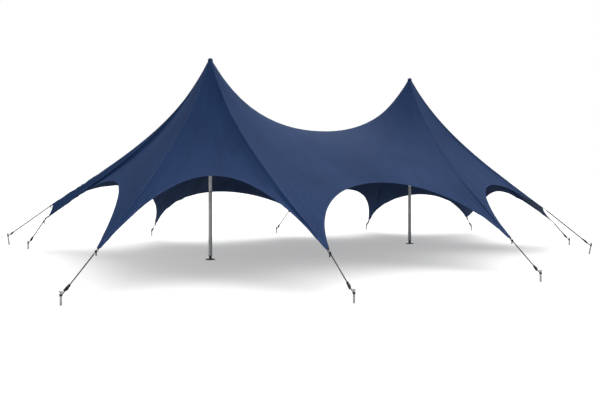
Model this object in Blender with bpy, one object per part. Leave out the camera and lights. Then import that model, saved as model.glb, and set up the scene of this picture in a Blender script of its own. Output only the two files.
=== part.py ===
"""Double pole star tent, at full size in metres with +Z up.

The origin is on the ground at the middle of the box that holds the stakes. +X
runs along the tent from the left pole to the right pole, and +Y runs to the back.

The canopy is a taut sheet. Its high points are the two pole heads, its low
points are the tips of eleven legs, and each edge between two tips is a cut arch.
It is made of one panel for each arch, and the panels meet along the ridges that
run from a pole head to a leg tip, and along the saddle between the two poles.
Each tip is held by a webbing guy that is looped round a steel stake.
"""

import math

import bmesh
import bpy
import numpy as np

# Poles
POLE_SPACING = 6.28
POLE_MIDDLE = -0.24
POLE_X = {"left": POLE_MIDDLE - POLE_SPACING / 2, "right": POLE_MIDDLE + POLE_SPACING / 2}
FOOT_RADIUS = 0.115
FOOT_THICKNESS = 0.010
NECK_RADIUS = 0.034
COLLAR_RADIUS = 0.047
COLLAR_THICKNESS = 0.010
COLLAR_TOP = 0.100
LOWER_RADIUS = 0.0445
LOWER_TOP = 1.640
UPPER_BOTTOM = 1.240
UPPER_TOP = 4.8197
TUBE_WALL = 0.004
SPIGOT_LENGTH = 0.060
CAP_RADIUS = 0.062
CAP_RIM = 0.022
CAP_TOP = 4.900

# Clear gap between pieces that touch
GAP = 0.0003

# Canopy
CLOTH = 0.008
RING_RADIUS = 0.055
RING_DROP = 0.0032
CONE_HEIGHT = 3.78
HORN_REACH = 0.977
SADDLE_HEIGHT = 3.134
SADDLE_POWER = 2.2
SADDLE_SOFTNESS = 2.0
BAY_SAG = 0.14
NARROW_BAY_SAG = 0.02
BAY_SAG_POWER = 1.5
TIP_HALF_WIDTH = 0.040
POLE_SHARE = 5 / 16
COLUMNS_NARROW = 6
COLUMNS_SINGLE = 10
COLUMNS_DOUBLE = 16
NARROW_ARCH = 2.0
ROWS = 9
ROW_POWER = 1.5

# Legs, anticlockwise seen from above: name, pole that the ridge runs to, foot
# of the stake (x, y), place of the canopy's tip (x, y, z), height of the stake
# above ground, how far the stake leans away from the pole for its height, and
# how many degrees the ridge's start is turned round the pole head.
LEGS = [
    ("front_left", "left", (-7.31, -3.44), (-6.59, -2.807, 0.804), 0.23, 0.00, 0),
    ("front_centre_left", "left", (-3.14, -5.67), (-3.171, -4.923, 0.80), 0.23, 0.00, 0),
    ("front_centre_right", "right", (1.10, -5.96), (1.408, -4.952, 0.738), 0.23, 0.00, 0),
    ("right_front", "right", (5.44, -4.06), (4.87, -3.15, 1.14), 0.30, 0.18, -5),
    ("right_end", "right", (6.66, -2.61), (6.28, -2.35, 0.67), 0.22, 0.00, 5),
    ("back_right", "right", (7.40, 1.89), (6.98, 1.71, 0.52), 0.22, 0.00, 0),
    ("back_centre_right", "right", (4.37, 4.11), (4.25, 3.77, 0.40), 0.22, 0.00, 0),
    ("back_centre", "right", (0.89, 4.60), (0.924, 3.678, 0.896), 0.22, 0.00, 0),
    ("back_left", "left", (-3.07, 5.96), (-3.10, 5.38, 0.50), 0.22, 0.00, 0),
    ("left_back", "left", (-7.365, 5.59), (-6.37, 4.20, 1.23), 0.34, 0.18, -12),
    ("left_end", "left", (-6.99, 4.35), (-6.60, 3.88, 0.86), 0.23, 0.00, 12),
]

# The arch from each leg to the next: panel name, how far its curve's two handles
# reach from the tips towards the pole, and how much they turn to the other tip.
ARCHES = [
    ("canopy_front_left", 0.52, 0.69, 0.10, 0.06),
    ("canopy_front_right", 0.75, 0.59, 0.295, 0.20),
    ("canopy_right_front", 0.34, 0.48, 0.00, 0.08),
    ("canopy_right_end", 0.06, 0.06, 0.30, 0.30),
    ("canopy_right_back", 0.46, 0.84, 0.00, 0.65),
    ("canopy_back_right", 0.44, 0.28, 0.04, 0.00),
    ("canopy_back_centre", 0.57, 0.41, 0.23, 0.27),
    ("canopy_back_left", 0.70, 0.49, 0.62, 0.02),
    ("canopy_left_back", 0.45, 0.45, 0.15, 0.15),
    ("canopy_left_end", 0.03, 0.03, 0.30, 0.30),
    ("canopy_left_front", 0.15, 1.14, 0.00, 0.35),
]

# Stakes and guys
STAKE_RADIUS = 0.020
STAKE_HEAD_RADIUS = 0.035
STAKE_HEAD = 0.014
LOOP_DROP = 0.065
LOOP_HEIGHT = 0.030
LOOP_WALL = 0.006
STRAP = (0.005, 0.026)
TIP_PLATE_LENGTH = 0.037
TIP_PLATE_END = (0.036, 0.008)
BUCKLE = (0.062, 0.022)
BUCKLE_LENGTH = 0.070
RATCHET = (0.038, 0.050)
RATCHET_END = (0.018, 0.034)
RATCHET_LENGTH = 0.160
RATCHET_FROM_STAKE = 0.075


def clear_scene():
    """Remove every object that the file opens with."""
    for obj in list(bpy.data.objects):
        bpy.data.objects.remove(obj, do_unlink=True)


def material(name, colour, roughness, metallic):
    """Make a plain Principled material."""
    mat = bpy.data.materials.new(name)
    mat.use_nodes = True
    shader = mat.node_tree.nodes["Principled BSDF"]
    shader.inputs["Base Color"].default_value = (*colour, 1.0)
    shader.inputs["Roughness"].default_value = roughness
    shader.inputs["Metallic"].default_value = metallic
    return mat


def add_object(name, bm, mat, smooth_angle=None):
    """Turn a bmesh into a named object with one material."""
    bmesh.ops.recalc_face_normals(bm, faces=bm.faces[:])
    mesh = bpy.data.meshes.new(name)
    bm.to_mesh(mesh)
    bm.free()
    if smooth_angle is not None:
        mesh.shade_smooth()
        mesh.set_sharp_from_angle(angle=smooth_angle)
    mesh.materials.append(mat)
    obj = bpy.data.objects.new(name, mesh)
    bpy.context.collection.objects.link(obj)
    return obj


def turned(profile, segments, closed=False):
    """Spin a profile of (radius, height) points round Z into a solid."""
    bm = bmesh.new()
    verts = [bm.verts.new((radius, 0.0, height)) for radius, height in profile]
    edges = [bm.edges.new(pair) for pair in zip(verts, verts[1:])]
    if closed:
        edges.append(bm.edges.new((verts[-1], verts[0])))
    bmesh.ops.spin(bm, geom=verts + edges, cent=(0, 0, 0), axis=(0, 0, 1),
                   angle=2 * math.pi, steps=segments, use_merge=True)
    bmesh.ops.remove_doubles(bm, verts=bm.verts[:], dist=0.00001)
    return bm


def lean(bm, slope, away):
    """Push each point sideways with its height, so the foot stays flat."""
    for vert in bm.verts:
        vert.co.x += away[0] * slope * vert.co.z
        vert.co.y += away[1] * slope * vert.co.z


# Poles

def build_pole(side, mats):
    """Foot plate with its neck, collar and spigot, two telescoped tubes and the cap."""
    x = POLE_X[side]
    lower_bore = LOWER_RADIUS - TUBE_WALL
    upper_radius = lower_bore - GAP
    upper_bore = upper_radius - TUBE_WALL
    lower_bottom = COLLAR_TOP + GAP
    cap_rim_bottom = UPPER_TOP + GAP
    collar_bottom = COLLAR_TOP - COLLAR_THICKNESS

    foot = [(0, 0), (FOOT_RADIUS, 0), (FOOT_RADIUS, FOOT_THICKNESS), (NECK_RADIUS, FOOT_THICKNESS),
            (NECK_RADIUS, collar_bottom), (COLLAR_RADIUS, collar_bottom), (COLLAR_RADIUS, COLLAR_TOP),
            (lower_bore - GAP, COLLAR_TOP), (lower_bore - GAP, COLLAR_TOP + SPIGOT_LENGTH),
            (0, COLLAR_TOP + SPIGOT_LENGTH)]
    lower = [(LOWER_RADIUS, lower_bottom), (LOWER_RADIUS, LOWER_TOP),
             (lower_bore, LOWER_TOP), (lower_bore, lower_bottom)]
    upper = [(upper_radius, UPPER_BOTTOM), (upper_radius, UPPER_TOP),
             (upper_bore, UPPER_TOP), (upper_bore, UPPER_BOTTOM)]
    dome_height = CAP_TOP - cap_rim_bottom - CAP_RIM
    dome = [(CAP_RADIUS * math.cos(a), cap_rim_bottom + CAP_RIM + dome_height * math.sin(a))
            for a in np.radians((0, 22.5, 45, 67.5))]
    cap = [(0, UPPER_TOP - SPIGOT_LENGTH), (upper_bore - GAP, UPPER_TOP - SPIGOT_LENGTH),
           (upper_bore - GAP, cap_rim_bottom), (CAP_RADIUS, cap_rim_bottom)]
    cap += dome + [(0, CAP_TOP)]

    for piece, profile, mat, closed in (
            ("foot", foot, "steel", False), ("lower_tube", lower, "aluminium", True),
            ("upper_tube", upper, "aluminium", True), ("cap", cap, "cap", False)):
        bm = turned(profile, 24, closed)
        obj = add_object(f"pole_{side}_{piece}", bm, mats[mat], math.radians(35))
        obj.location = (x, 0, 0)


# Canopy

def plan(point):
    """The x and y of a point."""
    return np.array(point[:2], float)


def ridge_start(leg):
    """Direction in plan in which a leg's ridge leaves the pole head."""
    run = plan(leg[3]) - pole_plan(leg[1])
    bearing = math.atan2(run[1], run[0]) + math.radians(leg[6])
    return np.array((math.cos(bearing), math.sin(bearing)))


def pole_plan(side):
    """Where a pole stands."""
    return np.array((POLE_X[side], 0.0))


def cone_apex(side):
    """Where the straight part of the ridges would meet above a pole."""
    return np.array((POLE_X[side], 0.0, CONE_HEIGHT))


def tip_edge(leg, towards):
    """The end of the leg's cut tip on the side of another point."""
    tip = np.array(leg[3], float)
    run = pole_plan(leg[1]) - tip[:2]
    side = np.array((-run[1], run[0])) / np.linalg.norm(run)
    if side @ (plan(towards) - tip[:2]) < 0:
        side = -side
    return tip + np.array((*side, 0.0)) * TIP_HALF_WIDTH


def arch_points(index, shares):
    """The cut edge between two leg tips: one cubic curve whose handles follow the ridges."""
    first, last = LEGS[index], LEGS[(index + 1) % len(LEGS)]
    reach_a, reach_b, turn_a, turn_b = ARCHES[index][1:]
    start, end = tip_edge(first, last[3]), tip_edge(last, first[3])
    across = np.array(last[3], float) - np.array(first[3], float)
    up_a = cone_apex(first[1]) - start
    up_b = cone_apex(last[1]) - end
    handle_a = start + reach_a * ((1 - turn_a) * up_a + turn_a * across)
    handle_b = end + reach_b * ((1 - turn_b) * up_b - turn_b * across)
    u = np.array(shares)[:, None]
    return ((1 - u) ** 3 * start + 3 * (1 - u) ** 2 * u * handle_a
            + 3 * (1 - u) * u ** 2 * handle_b + u ** 3 * end)


def horn(xy):
    """Rise of the cloth near the two poles, as a share of the rise at a pole head."""
    away = [np.linalg.norm(xy - pole_plan(side), axis=-1) for side in POLE_X]
    return sum(np.exp(-distance / HORN_REACH) for distance in away)


def turn_between(start, end, share):
    """A bearing part of the way from one direction to another, the short way round."""
    first = math.atan2(start[1], start[0])
    swing = (math.atan2(end[1], end[0]) - first + math.pi) % (2 * math.pi) - math.pi
    bearing = first + swing * share
    return np.array((math.cos(bearing), math.sin(bearing)))


def inner_end(index, share):
    """Where a line of the cloth starts: on a pole's ring, or on the saddle between them."""
    first, last = LEGS[index], LEGS[(index + 1) % len(LEGS)]
    near, far = pole_plan(first[1]), pole_plan(last[1])
    if first[1] == last[1]:
        way = turn_between(ridge_start(first), ridge_start(last), share)
        return near + way * RING_RADIUS, CONE_HEIGHT, 0.0
    along = (far - near) / np.linalg.norm(far - near)
    place = (share - POLE_SHARE) / (1 - 2 * POLE_SHARE)
    if place <= 0:
        way = turn_between(ridge_start(first), along, min(share / POLE_SHARE, 1))
        return near + way * RING_RADIUS, CONE_HEIGHT, 0.0
    if place >= 1:
        way = turn_between(ridge_start(last), -along, min((1 - share) / POLE_SHARE, 1))
        return far + way * RING_RADIUS, CONE_HEIGHT, 0.0
    start = near + along * (RING_RADIUS + place * (POLE_SPACING - 2 * RING_RADIUS))
    ends = abs(1 - 2 * place) ** SADDLE_POWER
    height = SADDLE_HEIGHT + (CONE_HEIGHT - SADDLE_HEIGHT) * ends
    return start, height, math.sin(math.pi * place) ** SADDLE_SOFTNESS


def panel_grid(index):
    """Middle surface of one panel: lines that run from the pole or saddle to the arch."""
    first, last = LEGS[index], LEGS[(index + 1) % len(LEGS)]
    width = np.linalg.norm(plan(first[3]) - plan(last[3]))
    narrow = width < NARROW_ARCH
    columns = COLUMNS_NARROW if narrow else COLUMNS_SINGLE
    if first[1] != last[1]:
        columns = COLUMNS_DOUBLE
    depth = 4 * (NARROW_BAY_SAG if narrow else BAY_SAG)
    shares = np.linspace(0, 1, columns + 1)
    arch = arch_points(index, np.linspace(0, 1, columns - 1))
    edge = np.vstack((first[3], arch, last[3]))
    down = np.linspace(0, 1, ROWS + 1) ** ROW_POWER

    ring_height = UPPER_TOP - RING_DROP
    ring_point = pole_plan("left") + (RING_RADIUS, 0)
    horn_height = (ring_height - CONE_HEIGHT) / horn(ring_point)
    grid = np.zeros((columns + 1, ROWS + 1, 3))
    for column, (share, outer) in enumerate(zip(shares, edge)):
        start, height, softness = inner_end(index, share)
        xy = start + (outer[:2] - start) * down[:, None]
        fall = (1 - softness) * down + softness * down ** 2
        rise = horn_height * (horn(xy) - horn(outer[:2]) * down)
        sag = depth * down * (1 - down) * max(math.sin(math.pi * share), 0) ** BAY_SAG_POWER
        grid[column, :, :2] = xy
        grid[column, :, 2] = height - (height - outer[2]) * fall + rise - sag
    return grid


def grid_normals(grid):
    """Unit normals of a grid of points, pointing up."""
    across = np.gradient(grid, axis=0)
    down = np.gradient(grid, axis=1)
    normals = np.cross(across, down)
    normals /= np.linalg.norm(normals, axis=2, keepdims=True)
    return normals * np.sign(normals[..., 2:3])


def shared_normals(grids):
    """Give points that two panels share one normal, so that their edges stay parallel."""
    normals = [grid_normals(grid) for grid in grids]
    for index, after in enumerate(normals):
        before = normals[index - 1]
        ridge = before[-1] + after[0]
        before[-1] = after[0] = ridge / np.linalg.norm(ridge, axis=1, keepdims=True)
    front, back = (index for index, grid in enumerate(grids) if len(grid) == COLUMNS_DOUBLE + 1)
    first = round(POLE_SHARE * COLUMNS_DOUBLE)
    for column in range(first, COLUMNS_DOUBLE - first + 1):
        crest = normals[front][column, 0] + normals[back][COLUMNS_DOUBLE - column, 0]
        crest /= np.linalg.norm(crest)
        normals[front][column, 0] = normals[back][COLUMNS_DOUBLE - column, 0] = crest
    return normals


def open_seams(grid, normals):
    """Draw a panel back from its two ridges and from the saddle by half a gap."""
    shrunk = grid.copy()
    for column, inward in ((0, 1), (-1, -1)):
        along = np.gradient(grid[column], axis=0)
        side = np.cross(normals[column], along)
        side /= np.linalg.norm(side, axis=1, keepdims=True)
        inner = grid[column + inward] - grid[column]
        sign = np.sign(np.sum(side * inner, axis=1))[-1]
        shrunk[column] += side * sign * GAP / 2
    for column in range(grid.shape[0]):
        if abs(grid[column, 0, 1]) < 1e-6:
            shrunk[column, 0, 1] += math.copysign(GAP / 2, grid[column, -1, 1])
    return shrunk


def panel_mesh(grid, normals):
    """Close a grid of middle points into a sheet of the cloth's modelled thickness."""
    bm = bmesh.new()
    columns, rows = grid.shape[0], grid.shape[1]
    layers = []
    for sign in (1, -1):
        points = grid + normals * sign * CLOTH / 2
        layers.append([[bm.verts.new(points[c, r]) for r in range(rows)] for c in range(columns)])
    for c in range(columns - 1):
        for r in range(rows - 1):
            cell = ((c, r), (c + 1, r), (c + 1, r + 1), (c, r + 1))
            short = (np.linalg.norm(grid[c, r] - grid[c + 1, r + 1])
                     <= np.linalg.norm(grid[c + 1, r] - grid[c, r + 1]))
            halves = ((0, 1, 2), (0, 2, 3)) if short else ((1, 2, 3), (1, 3, 0))
            for layer in layers:
                for half in halves:
                    bm.faces.new([layer[cell[k][0]][cell[k][1]] for k in half])
    rim = [(c, 0) for c in range(columns)] + [(columns - 1, r) for r in range(1, rows)]
    rim += [(c, rows - 1) for c in range(columns - 2, -1, -1)]
    rim += [(0, r) for r in range(rows - 2, 0, -1)]
    top, bottom = layers
    for first, last in zip(rim, rim[1:] + rim[:1]):
        # both panels of a seam split its wall along the same diagonal
        (c0, r0), (c1, r1) = sorted((first, last), key=lambda p: (p[1], grid[p][0]))
        bm.faces.new((top[c0][r0], top[c1][r1], bottom[c1][r1]))
        bm.faces.new((top[c0][r0], bottom[c1][r1], bottom[c0][r0]))
    return bm


def build_canopy(mats):
    """One panel for each arch. Returns the direction and normal of the cloth at each tip."""
    grids = [panel_grid(index) for index in range(len(LEGS))]
    normals = shared_normals(grids)
    ends = []
    for index, (grid, normal) in enumerate(zip(grids, normals)):
        bm = panel_mesh(open_seams(grid, normal), normal)
        add_object(ARCHES[index][0], bm, mats["cloth"], math.radians(40))
        along = grid[0, -1] - grid[0, -2]
        up = normal[0, -1]
        along -= up * (along @ up)
        ends.append((along / np.linalg.norm(along), up))
    return ends


# Stakes and guys

def stake_lean(leg):
    """Unit direction away from the pole, and the lean of the stake."""
    run = plan(leg[2]) - pole_plan(leg[1])
    return run / np.linalg.norm(run), leg[5]


def build_stake(leg, mats):
    """A steel rod driven into the ground, cut at ground level, with a flat head."""
    height = leg[4]
    neck = height - STAKE_HEAD
    bevel = 0.003
    profile = [(0, 0), (STAKE_RADIUS, 0), (STAKE_RADIUS, neck),
               (STAKE_HEAD_RADIUS, neck), (STAKE_HEAD_RADIUS, height - bevel),
               (STAKE_HEAD_RADIUS - bevel, height), (0, height)]
    bm = turned(profile, 16)
    away, slope = stake_lean(leg)
    lean(bm, slope, away)
    obj = add_object("stake_" + leg[0], bm, mats["steel"], math.radians(35))
    obj.location = (*leg[2], 0)


def box_loft(sections):
    """Join rectangles of given centre, side direction, up direction, width and thickness."""
    bm = bmesh.new()
    rings = []
    for centre, side, up, width, thick in sections:
        corners = ((-1, -1), (1, -1), (1, 1), (-1, 1))
        rings.append([bm.verts.new(centre + side * a * width / 2 + up * b * thick / 2)
                      for a, b in corners])
    bm.faces.new(rings[0])
    bm.faces.new(rings[-1])
    for first, last in zip(rings, rings[1:]):
        for k in range(4):
            bm.faces.new((first[k], first[(k + 1) % 4], last[(k + 1) % 4], last[k]))
    bmesh.ops.triangulate(bm, faces=bm.faces[:])
    return bm


def union(body, extra):
    """Fuse a second solid into a body and remove the second object."""
    fuse = body.modifiers.new("fuse", "BOOLEAN")
    fuse.operation = "UNION"
    fuse.solver = "EXACT"
    fuse.object = extra
    graph = bpy.context.evaluated_depsgraph_get()
    mesh = bpy.data.meshes.new_from_object(body.evaluated_get(graph))
    body.modifiers.clear()
    body.data = mesh
    bpy.data.objects.remove(extra, do_unlink=True)


def build_guy(leg, end, mats):
    """Webbing guy: tip patch, buckle, strap, ratchet and the loop round the stake."""
    tip = np.array(leg[3], float)
    cloth_way, cloth_up = end
    away, slope = stake_lean(leg)
    loop_height = leg[4] - LOOP_DROP
    axis = plan(leg[2]) + away * slope * loop_height
    inside_wall = STAKE_RADIUS + GAP + LOOP_WALL * 0.25
    back = tip[:2] - axis
    back /= np.linalg.norm(back)
    loop_end = np.array((*(axis + back * inside_wall), loop_height))

    way = loop_end - tip
    length = np.linalg.norm(way)
    way /= length
    side = np.cross(cloth_up, cloth_way)
    strap_side = np.cross((0, 0, 1), way)
    strap_side /= np.linalg.norm(strap_side)
    strap_side *= np.sign(strap_side @ side)
    strap_up = np.cross(way, strap_side)
    strap_up *= np.sign(strap_up @ cloth_up)

    def at(distance, size):
        return tip + way * distance, strap_side, strap_up, size[0], size[1]

    patch = (tip + cloth_way * GAP, side, cloth_up, 2 * TIP_HALF_WIDTH, CLOTH)
    # the strap stands on edge and is cut to lie along the stake
    stake_up = np.array((*(away * slope), 1.0))
    sewn_end = (loop_end, strap_side, stake_up, *STRAP)
    buckle_end = TIP_PLATE_LENGTH + BUCKLE_LENGTH
    ratchet_end = length - RATCHET_FROM_STAKE
    ratchet_start = ratchet_end - RATCHET_LENGTH
    step = 0.004
    taper = RATCHET_LENGTH * 0.35
    sections = [patch, at(TIP_PLATE_LENGTH, TIP_PLATE_END),
                at(TIP_PLATE_LENGTH + step, BUCKLE), at(buckle_end, BUCKLE),
                at(buckle_end + step, STRAP), at(ratchet_start, STRAP),
                at(ratchet_start + step, RATCHET_END), at(ratchet_start + taper, RATCHET),
                at(ratchet_end - taper, RATCHET), at(ratchet_end, RATCHET_END),
                at(ratchet_end + step, STRAP), sewn_end]
    guy = add_object("guy_" + leg[0], box_loft(sections), mats["webbing"])

    inner = STAKE_RADIUS + GAP
    half = LOOP_HEIGHT / 2
    ring = turned([(inner, loop_height - half), (inner + LOOP_WALL, loop_height - half),
                   (inner + LOOP_WALL, loop_height + half), (inner, loop_height + half)], 16, True)
    lean(ring, slope, away)
    for vert in ring.verts:
        vert.co.x += leg[2][0]
        vert.co.y += leg[2][1]
    union(guy, add_object("loop", ring, mats["webbing"]))


def main():
    clear_scene()
    mats = {
        "cloth": material("polyester_cloth", (0.026, 0.055, 0.145), 0.65, 0.0),
        "aluminium": material("anodised_aluminium", (0.42, 0.42, 0.42), 0.38, 1.0),
        "steel": material("galvanised_steel", (0.30, 0.30, 0.30), 0.50, 1.0),
        "cap": material("moulded_rubber", (0.015, 0.018, 0.028), 0.55, 0.0),
        "webbing": material("polyester_webbing", (0.030, 0.030, 0.032), 0.70, 0.0),
    }
    for side in POLE_X:
        build_pole(side, mats)
    ends = build_canopy(mats)
    for leg, end in zip(LEGS, ends):
        build_stake(leg, mats)
        build_guy(leg, end, mats)


main()
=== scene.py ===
# %% [markdown]
# # A double pole star tent
# A star tent is one taut cloth. Two tall poles push it up, eleven legs pull it down to
# stakes in the ground, and every edge between two legs is a cut arch. The working model
# holds the real sizes, so this lesson only dresses it: cloth, seams, guys and finishes.

# %% Load the working model and keep its box
import math
from collections import namedtuple

import bmesh
import bpy
import numpy as np
from mathutils import Matrix, Vector
from mathutils.bvhtree import BVHTree


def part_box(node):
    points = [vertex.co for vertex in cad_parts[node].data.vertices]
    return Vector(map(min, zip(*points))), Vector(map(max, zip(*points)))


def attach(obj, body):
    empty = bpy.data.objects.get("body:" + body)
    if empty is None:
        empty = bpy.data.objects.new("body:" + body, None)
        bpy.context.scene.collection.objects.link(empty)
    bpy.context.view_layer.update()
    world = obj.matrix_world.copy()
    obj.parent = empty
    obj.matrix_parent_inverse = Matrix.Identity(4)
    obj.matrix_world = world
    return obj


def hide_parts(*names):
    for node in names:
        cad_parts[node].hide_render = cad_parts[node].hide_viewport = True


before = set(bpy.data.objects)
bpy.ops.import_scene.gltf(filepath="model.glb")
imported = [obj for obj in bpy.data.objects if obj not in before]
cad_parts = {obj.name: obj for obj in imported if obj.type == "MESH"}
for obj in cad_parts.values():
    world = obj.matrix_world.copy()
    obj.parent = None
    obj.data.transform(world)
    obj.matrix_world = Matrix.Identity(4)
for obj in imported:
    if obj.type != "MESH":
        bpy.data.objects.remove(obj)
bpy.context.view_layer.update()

# %% [markdown]
# The camera stands where the photographer stood: 2.17 m above the ground, level, in front
# of the tent and to its left. A level camera keeps the poles upright, so the picture is
# framed lower with the lens shift and not by tilting the camera.

# %% Place the camera
PICTURE_WIDTH = 600
HORIZON_ABOVE_CENTRE = 29.8
EYE = (-8.848, -13.703, 2.172)
LOOK = (0.5038, 0.8638)
camera_data = bpy.data.cameras.new("photographer")
camera_data.sensor_width = camera_data.lens = 36.0
camera_data.shift_y = -HORIZON_ABOVE_CENTRE / PICTURE_WIDTH
camera_data.clip_end = 400.0
camera = bpy.data.objects.new("photographer", camera_data)
bpy.context.collection.objects.link(camera)
camera.location = EYE
camera.rotation_euler = (math.radians(90), 0, -math.atan2(*LOOK))
bpy.context.scene.camera = camera
print("camera at", EYE, "m, turned", round(math.degrees(math.atan2(*LOOK)), 1), "degrees")

# %% [markdown]
# Colours are picked on a screen as hex values, which are sRGB. Cycles works with linear
# light, so one small function turns a hex value to linear, and one adds a shader node.

# %% Helpers for every material
MM = 0.001


def linear(hex_colour):
    """Turn an sRGB hex value such as 2D4269 to linear red, green, blue and alpha."""
    shares = [int(hex_colour[k:k + 2], 16) / 255 for k in (0, 2, 4)]
    return (*[s / 12.92 if s <= 0.04045 else ((s + 0.055) / 1.055) ** 2.4 for s in shares], 1.0)


def socket_of(source):
    """The first open output of a node. Anything else stays what it is."""
    if isinstance(source, bpy.types.Node):
        return next(output for output in source.outputs if output.enabled)
    return source


def add_node(tree, kind, inputs=None, **settings):
    """Add one node. Settings are its own values; inputs are values, or nodes to link from."""
    node = tree.nodes.new("ShaderNode" + kind)
    for name, value in settings.items():
        setattr(node, name, value)
    for name, source in (inputs or {}).items():
        value = socket_of(source)
        if isinstance(value, bpy.types.NodeSocket):
            tree.links.new(value, node.inputs[name])
        else:
            node.inputs[name].default_value = value
    return node


def new_material(name, **values):
    """A Principled material with values for the shader's own sockets."""
    mat = bpy.data.materials.new(name)
    mat.use_nodes = True
    tree = mat.node_tree
    shader = tree.nodes["Principled BSDF"]
    for socket, value in values.items():
        shader.inputs[socket.replace("_", " ")].default_value = value
    return mat, tree, shader


def finish_material(tree, shader, colour, height, distance, strength, roughness=None):
    """Link a colour and a bump height to the shader, and a roughness where there is one."""
    bump = add_node(tree, "Bump", {"Height": height, "Strength": strength, "Distance": distance})
    for name, source in {"Base Color": colour, "Normal": bump, "Roughness": roughness}.items():
        if source is not None:
            tree.links.new(socket_of(source), shader.inputs[name])


print("navy 2D4269 in linear light:", [round(value, 3) for value in linear("2D4269")])

# %% [markdown]
# The cloth is polyester woven from fine yarn and coated with polyurethane against rain.
# The coating makes it matt, with hardly any gloss, because the weave breaks it up. A real
# thread is 0.4 mm across, far too fine to show, so the weave is drawn ten times as coarse
# and very shallow. The broad streaks are where the pull of the cloth changes its tone.

# %% Coated polyester cloth
THREAD = 4 * MM
ONE_BAND = 2 * math.pi / 20  # the wave texture's scale that gives one band for each metre
STREAKS = (5.0, 0.5, 1.0)  # 0.2 m across the cloth's lines and 2 m along them
DRIFT = 0.9  # patches a little over 1 m across
STITCH_ROWS = (5 * MM, 11 * MM)
STITCH_HALF_WIDTH = 0.9 * MM
STITCH_STEP = 10 * MM
STITCH_SHARE = 0.7


def stitch_mask(tree, uv):
    """Two rows of stitches beside a strip's long edge. V is the distance from that edge."""
    parts = add_node(tree, "SeparateXYZ", {"Vector": uv})
    rows = [add_node(tree, "Math", {0: parts.outputs["Y"], 1: row, 2: STITCH_HALF_WIDTH},
                     operation="COMPARE") for row in STITCH_ROWS]
    either = add_node(tree, "Math", {0: rows[0], 1: rows[1]}, operation="ADD")
    # real stitches are 4 mm long; these are 7 mm in every 10, so that they show
    count = add_node(tree, "Math", {0: parts.outputs["X"], 1: 1 / STITCH_STEP},
                     operation="MULTIPLY")
    within = add_node(tree, "Math", {0: count}, operation="FRACT")
    thread = add_node(tree, "Math", {0: within, 1: STITCH_SHARE}, operation="LESS_THAN")
    return add_node(tree, "Math", {0: either, 1: thread}, operation="MULTIPLY")


def coated_polyester(name, deep, pale, rough, stitched=False):
    """Woven and coated cloth that follows the piece's own UV map, which is in metres."""
    mat, tree, shader = new_material(name, Roughness=rough, IOR=1.46, Specular_IOR_Level=0.08)
    uv = add_node(tree, "UVMap", uv_map="cloth")
    place = add_node(tree, "TexCoord").outputs["Object"]
    drift = add_node(tree, "TexNoise", {"Vector": place, "Scale": DRIFT, "Detail": 3.0,
                                        "Roughness": 0.55})
    stretch = add_node(tree, "Mapping", {"Vector": uv, "Scale": STREAKS})
    streak = add_node(tree, "TexNoise", {"Vector": stretch, "Scale": 1.0, "Detail": 4.0,
                                         "Roughness": 0.6})
    both = add_node(tree, "Math", {0: drift, 1: streak}, operation="ADD")
    share = add_node(tree, "MapRange", {"Value": both, "From Min": 0.7, "From Max": 1.3})
    colour = add_node(tree, "Mix", {"Factor": share, "A": linear(deep), "B": linear(pale)},
                      data_type="RGBA")
    threads = [add_node(tree, "TexWave", {"Vector": uv, "Scale": ONE_BAND / THREAD},
                        bands_direction=way).outputs["Fac"] for way in ("X", "Y")]
    height = add_node(tree, "Math", {0: threads[0], 1: threads[1]}, operation="MULTIPLY")
    if stitched:
        stitch = stitch_mask(tree, uv)
        colour = add_node(tree, "Mix", {"Factor": stitch, "A": colour, "B": linear("4C5E82")},
                          data_type="RGBA")
        height = add_node(tree, "Math", {0: stitch, 1: 3.0, 2: height}, operation="MULTIPLY_ADD")
    finish_material(tree, shader, colour, height, 0.3 * MM, 0.35)
    return mat


cloth_outside = coated_polyester("coated_polyester_outside", "152B4E", "1B345B", 0.70)
cloth_inside = coated_polyester("coated_polyester_inside", "21314F", "283F63", 0.75)
cloth_doubled = coated_polyester("coated_polyester_doubled", "152B4F", "1C355C", 0.68, True)
lining_doubled = coated_polyester("coated_polyester_lining_doubled", "21314F", "283F63", 0.75,
                                  True)
print("cloth drawn with threads of", THREAD / MM, "mm and stitches every", STITCH_STEP / MM, "mm")

# %% [markdown]
# The straps are polyester webbing, woven with a herringbone face. The ribs run in small
# slopes from the middle to both edges, and they make the strap look matt and dark grey.
# The ribs are 1.2 mm apart on a real strap, and 2.4 mm here, so that they show.

# %% Woven webbing
RIB = 2.4 * MM
FUZZ = 90.0  # tufts of 11 mm, where the yarn is rubbed


def woven_webbing(name, deep, pale):
    """Herringbone webbing: U runs along the strap and V across it from its middle."""
    mat, tree, shader = new_material(name, Roughness=0.8, IOR=1.46, Specular_IOR_Level=0.2)
    uv = add_node(tree, "UVMap", uv_map="cloth")
    parts = add_node(tree, "SeparateXYZ", {"Vector": uv})
    across = add_node(tree, "Math", {0: parts.outputs["Y"]}, operation="ABSOLUTE")
    slope = add_node(tree, "Math", {0: parts.outputs["X"], 1: across}, operation="ADD")
    turns = add_node(tree, "Math", {0: slope, 1: 2 * math.pi / RIB}, operation="MULTIPLY")
    rib = add_node(tree, "Math", {0: turns}, operation="SINE")
    fuzz = add_node(tree, "TexNoise", {"Vector": uv, "Scale": FUZZ, "Detail": 3.0})
    share = add_node(tree, "Math", {0: rib, 1: 0.2, 2: fuzz}, operation="MULTIPLY_ADD")
    tone = add_node(tree, "Mix", {"Factor": share, "A": linear(deep), "B": linear(pale)},
                    data_type="RGBA")
    finish_material(tree, shader, tone, rib, 0.3 * MM, 0.6)
    return mat


webbing = woven_webbing("polyester_webbing", "17181A", "2B2C2F")
print("webbing drawn with ribs of", RIB / MM, "mm")

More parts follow.
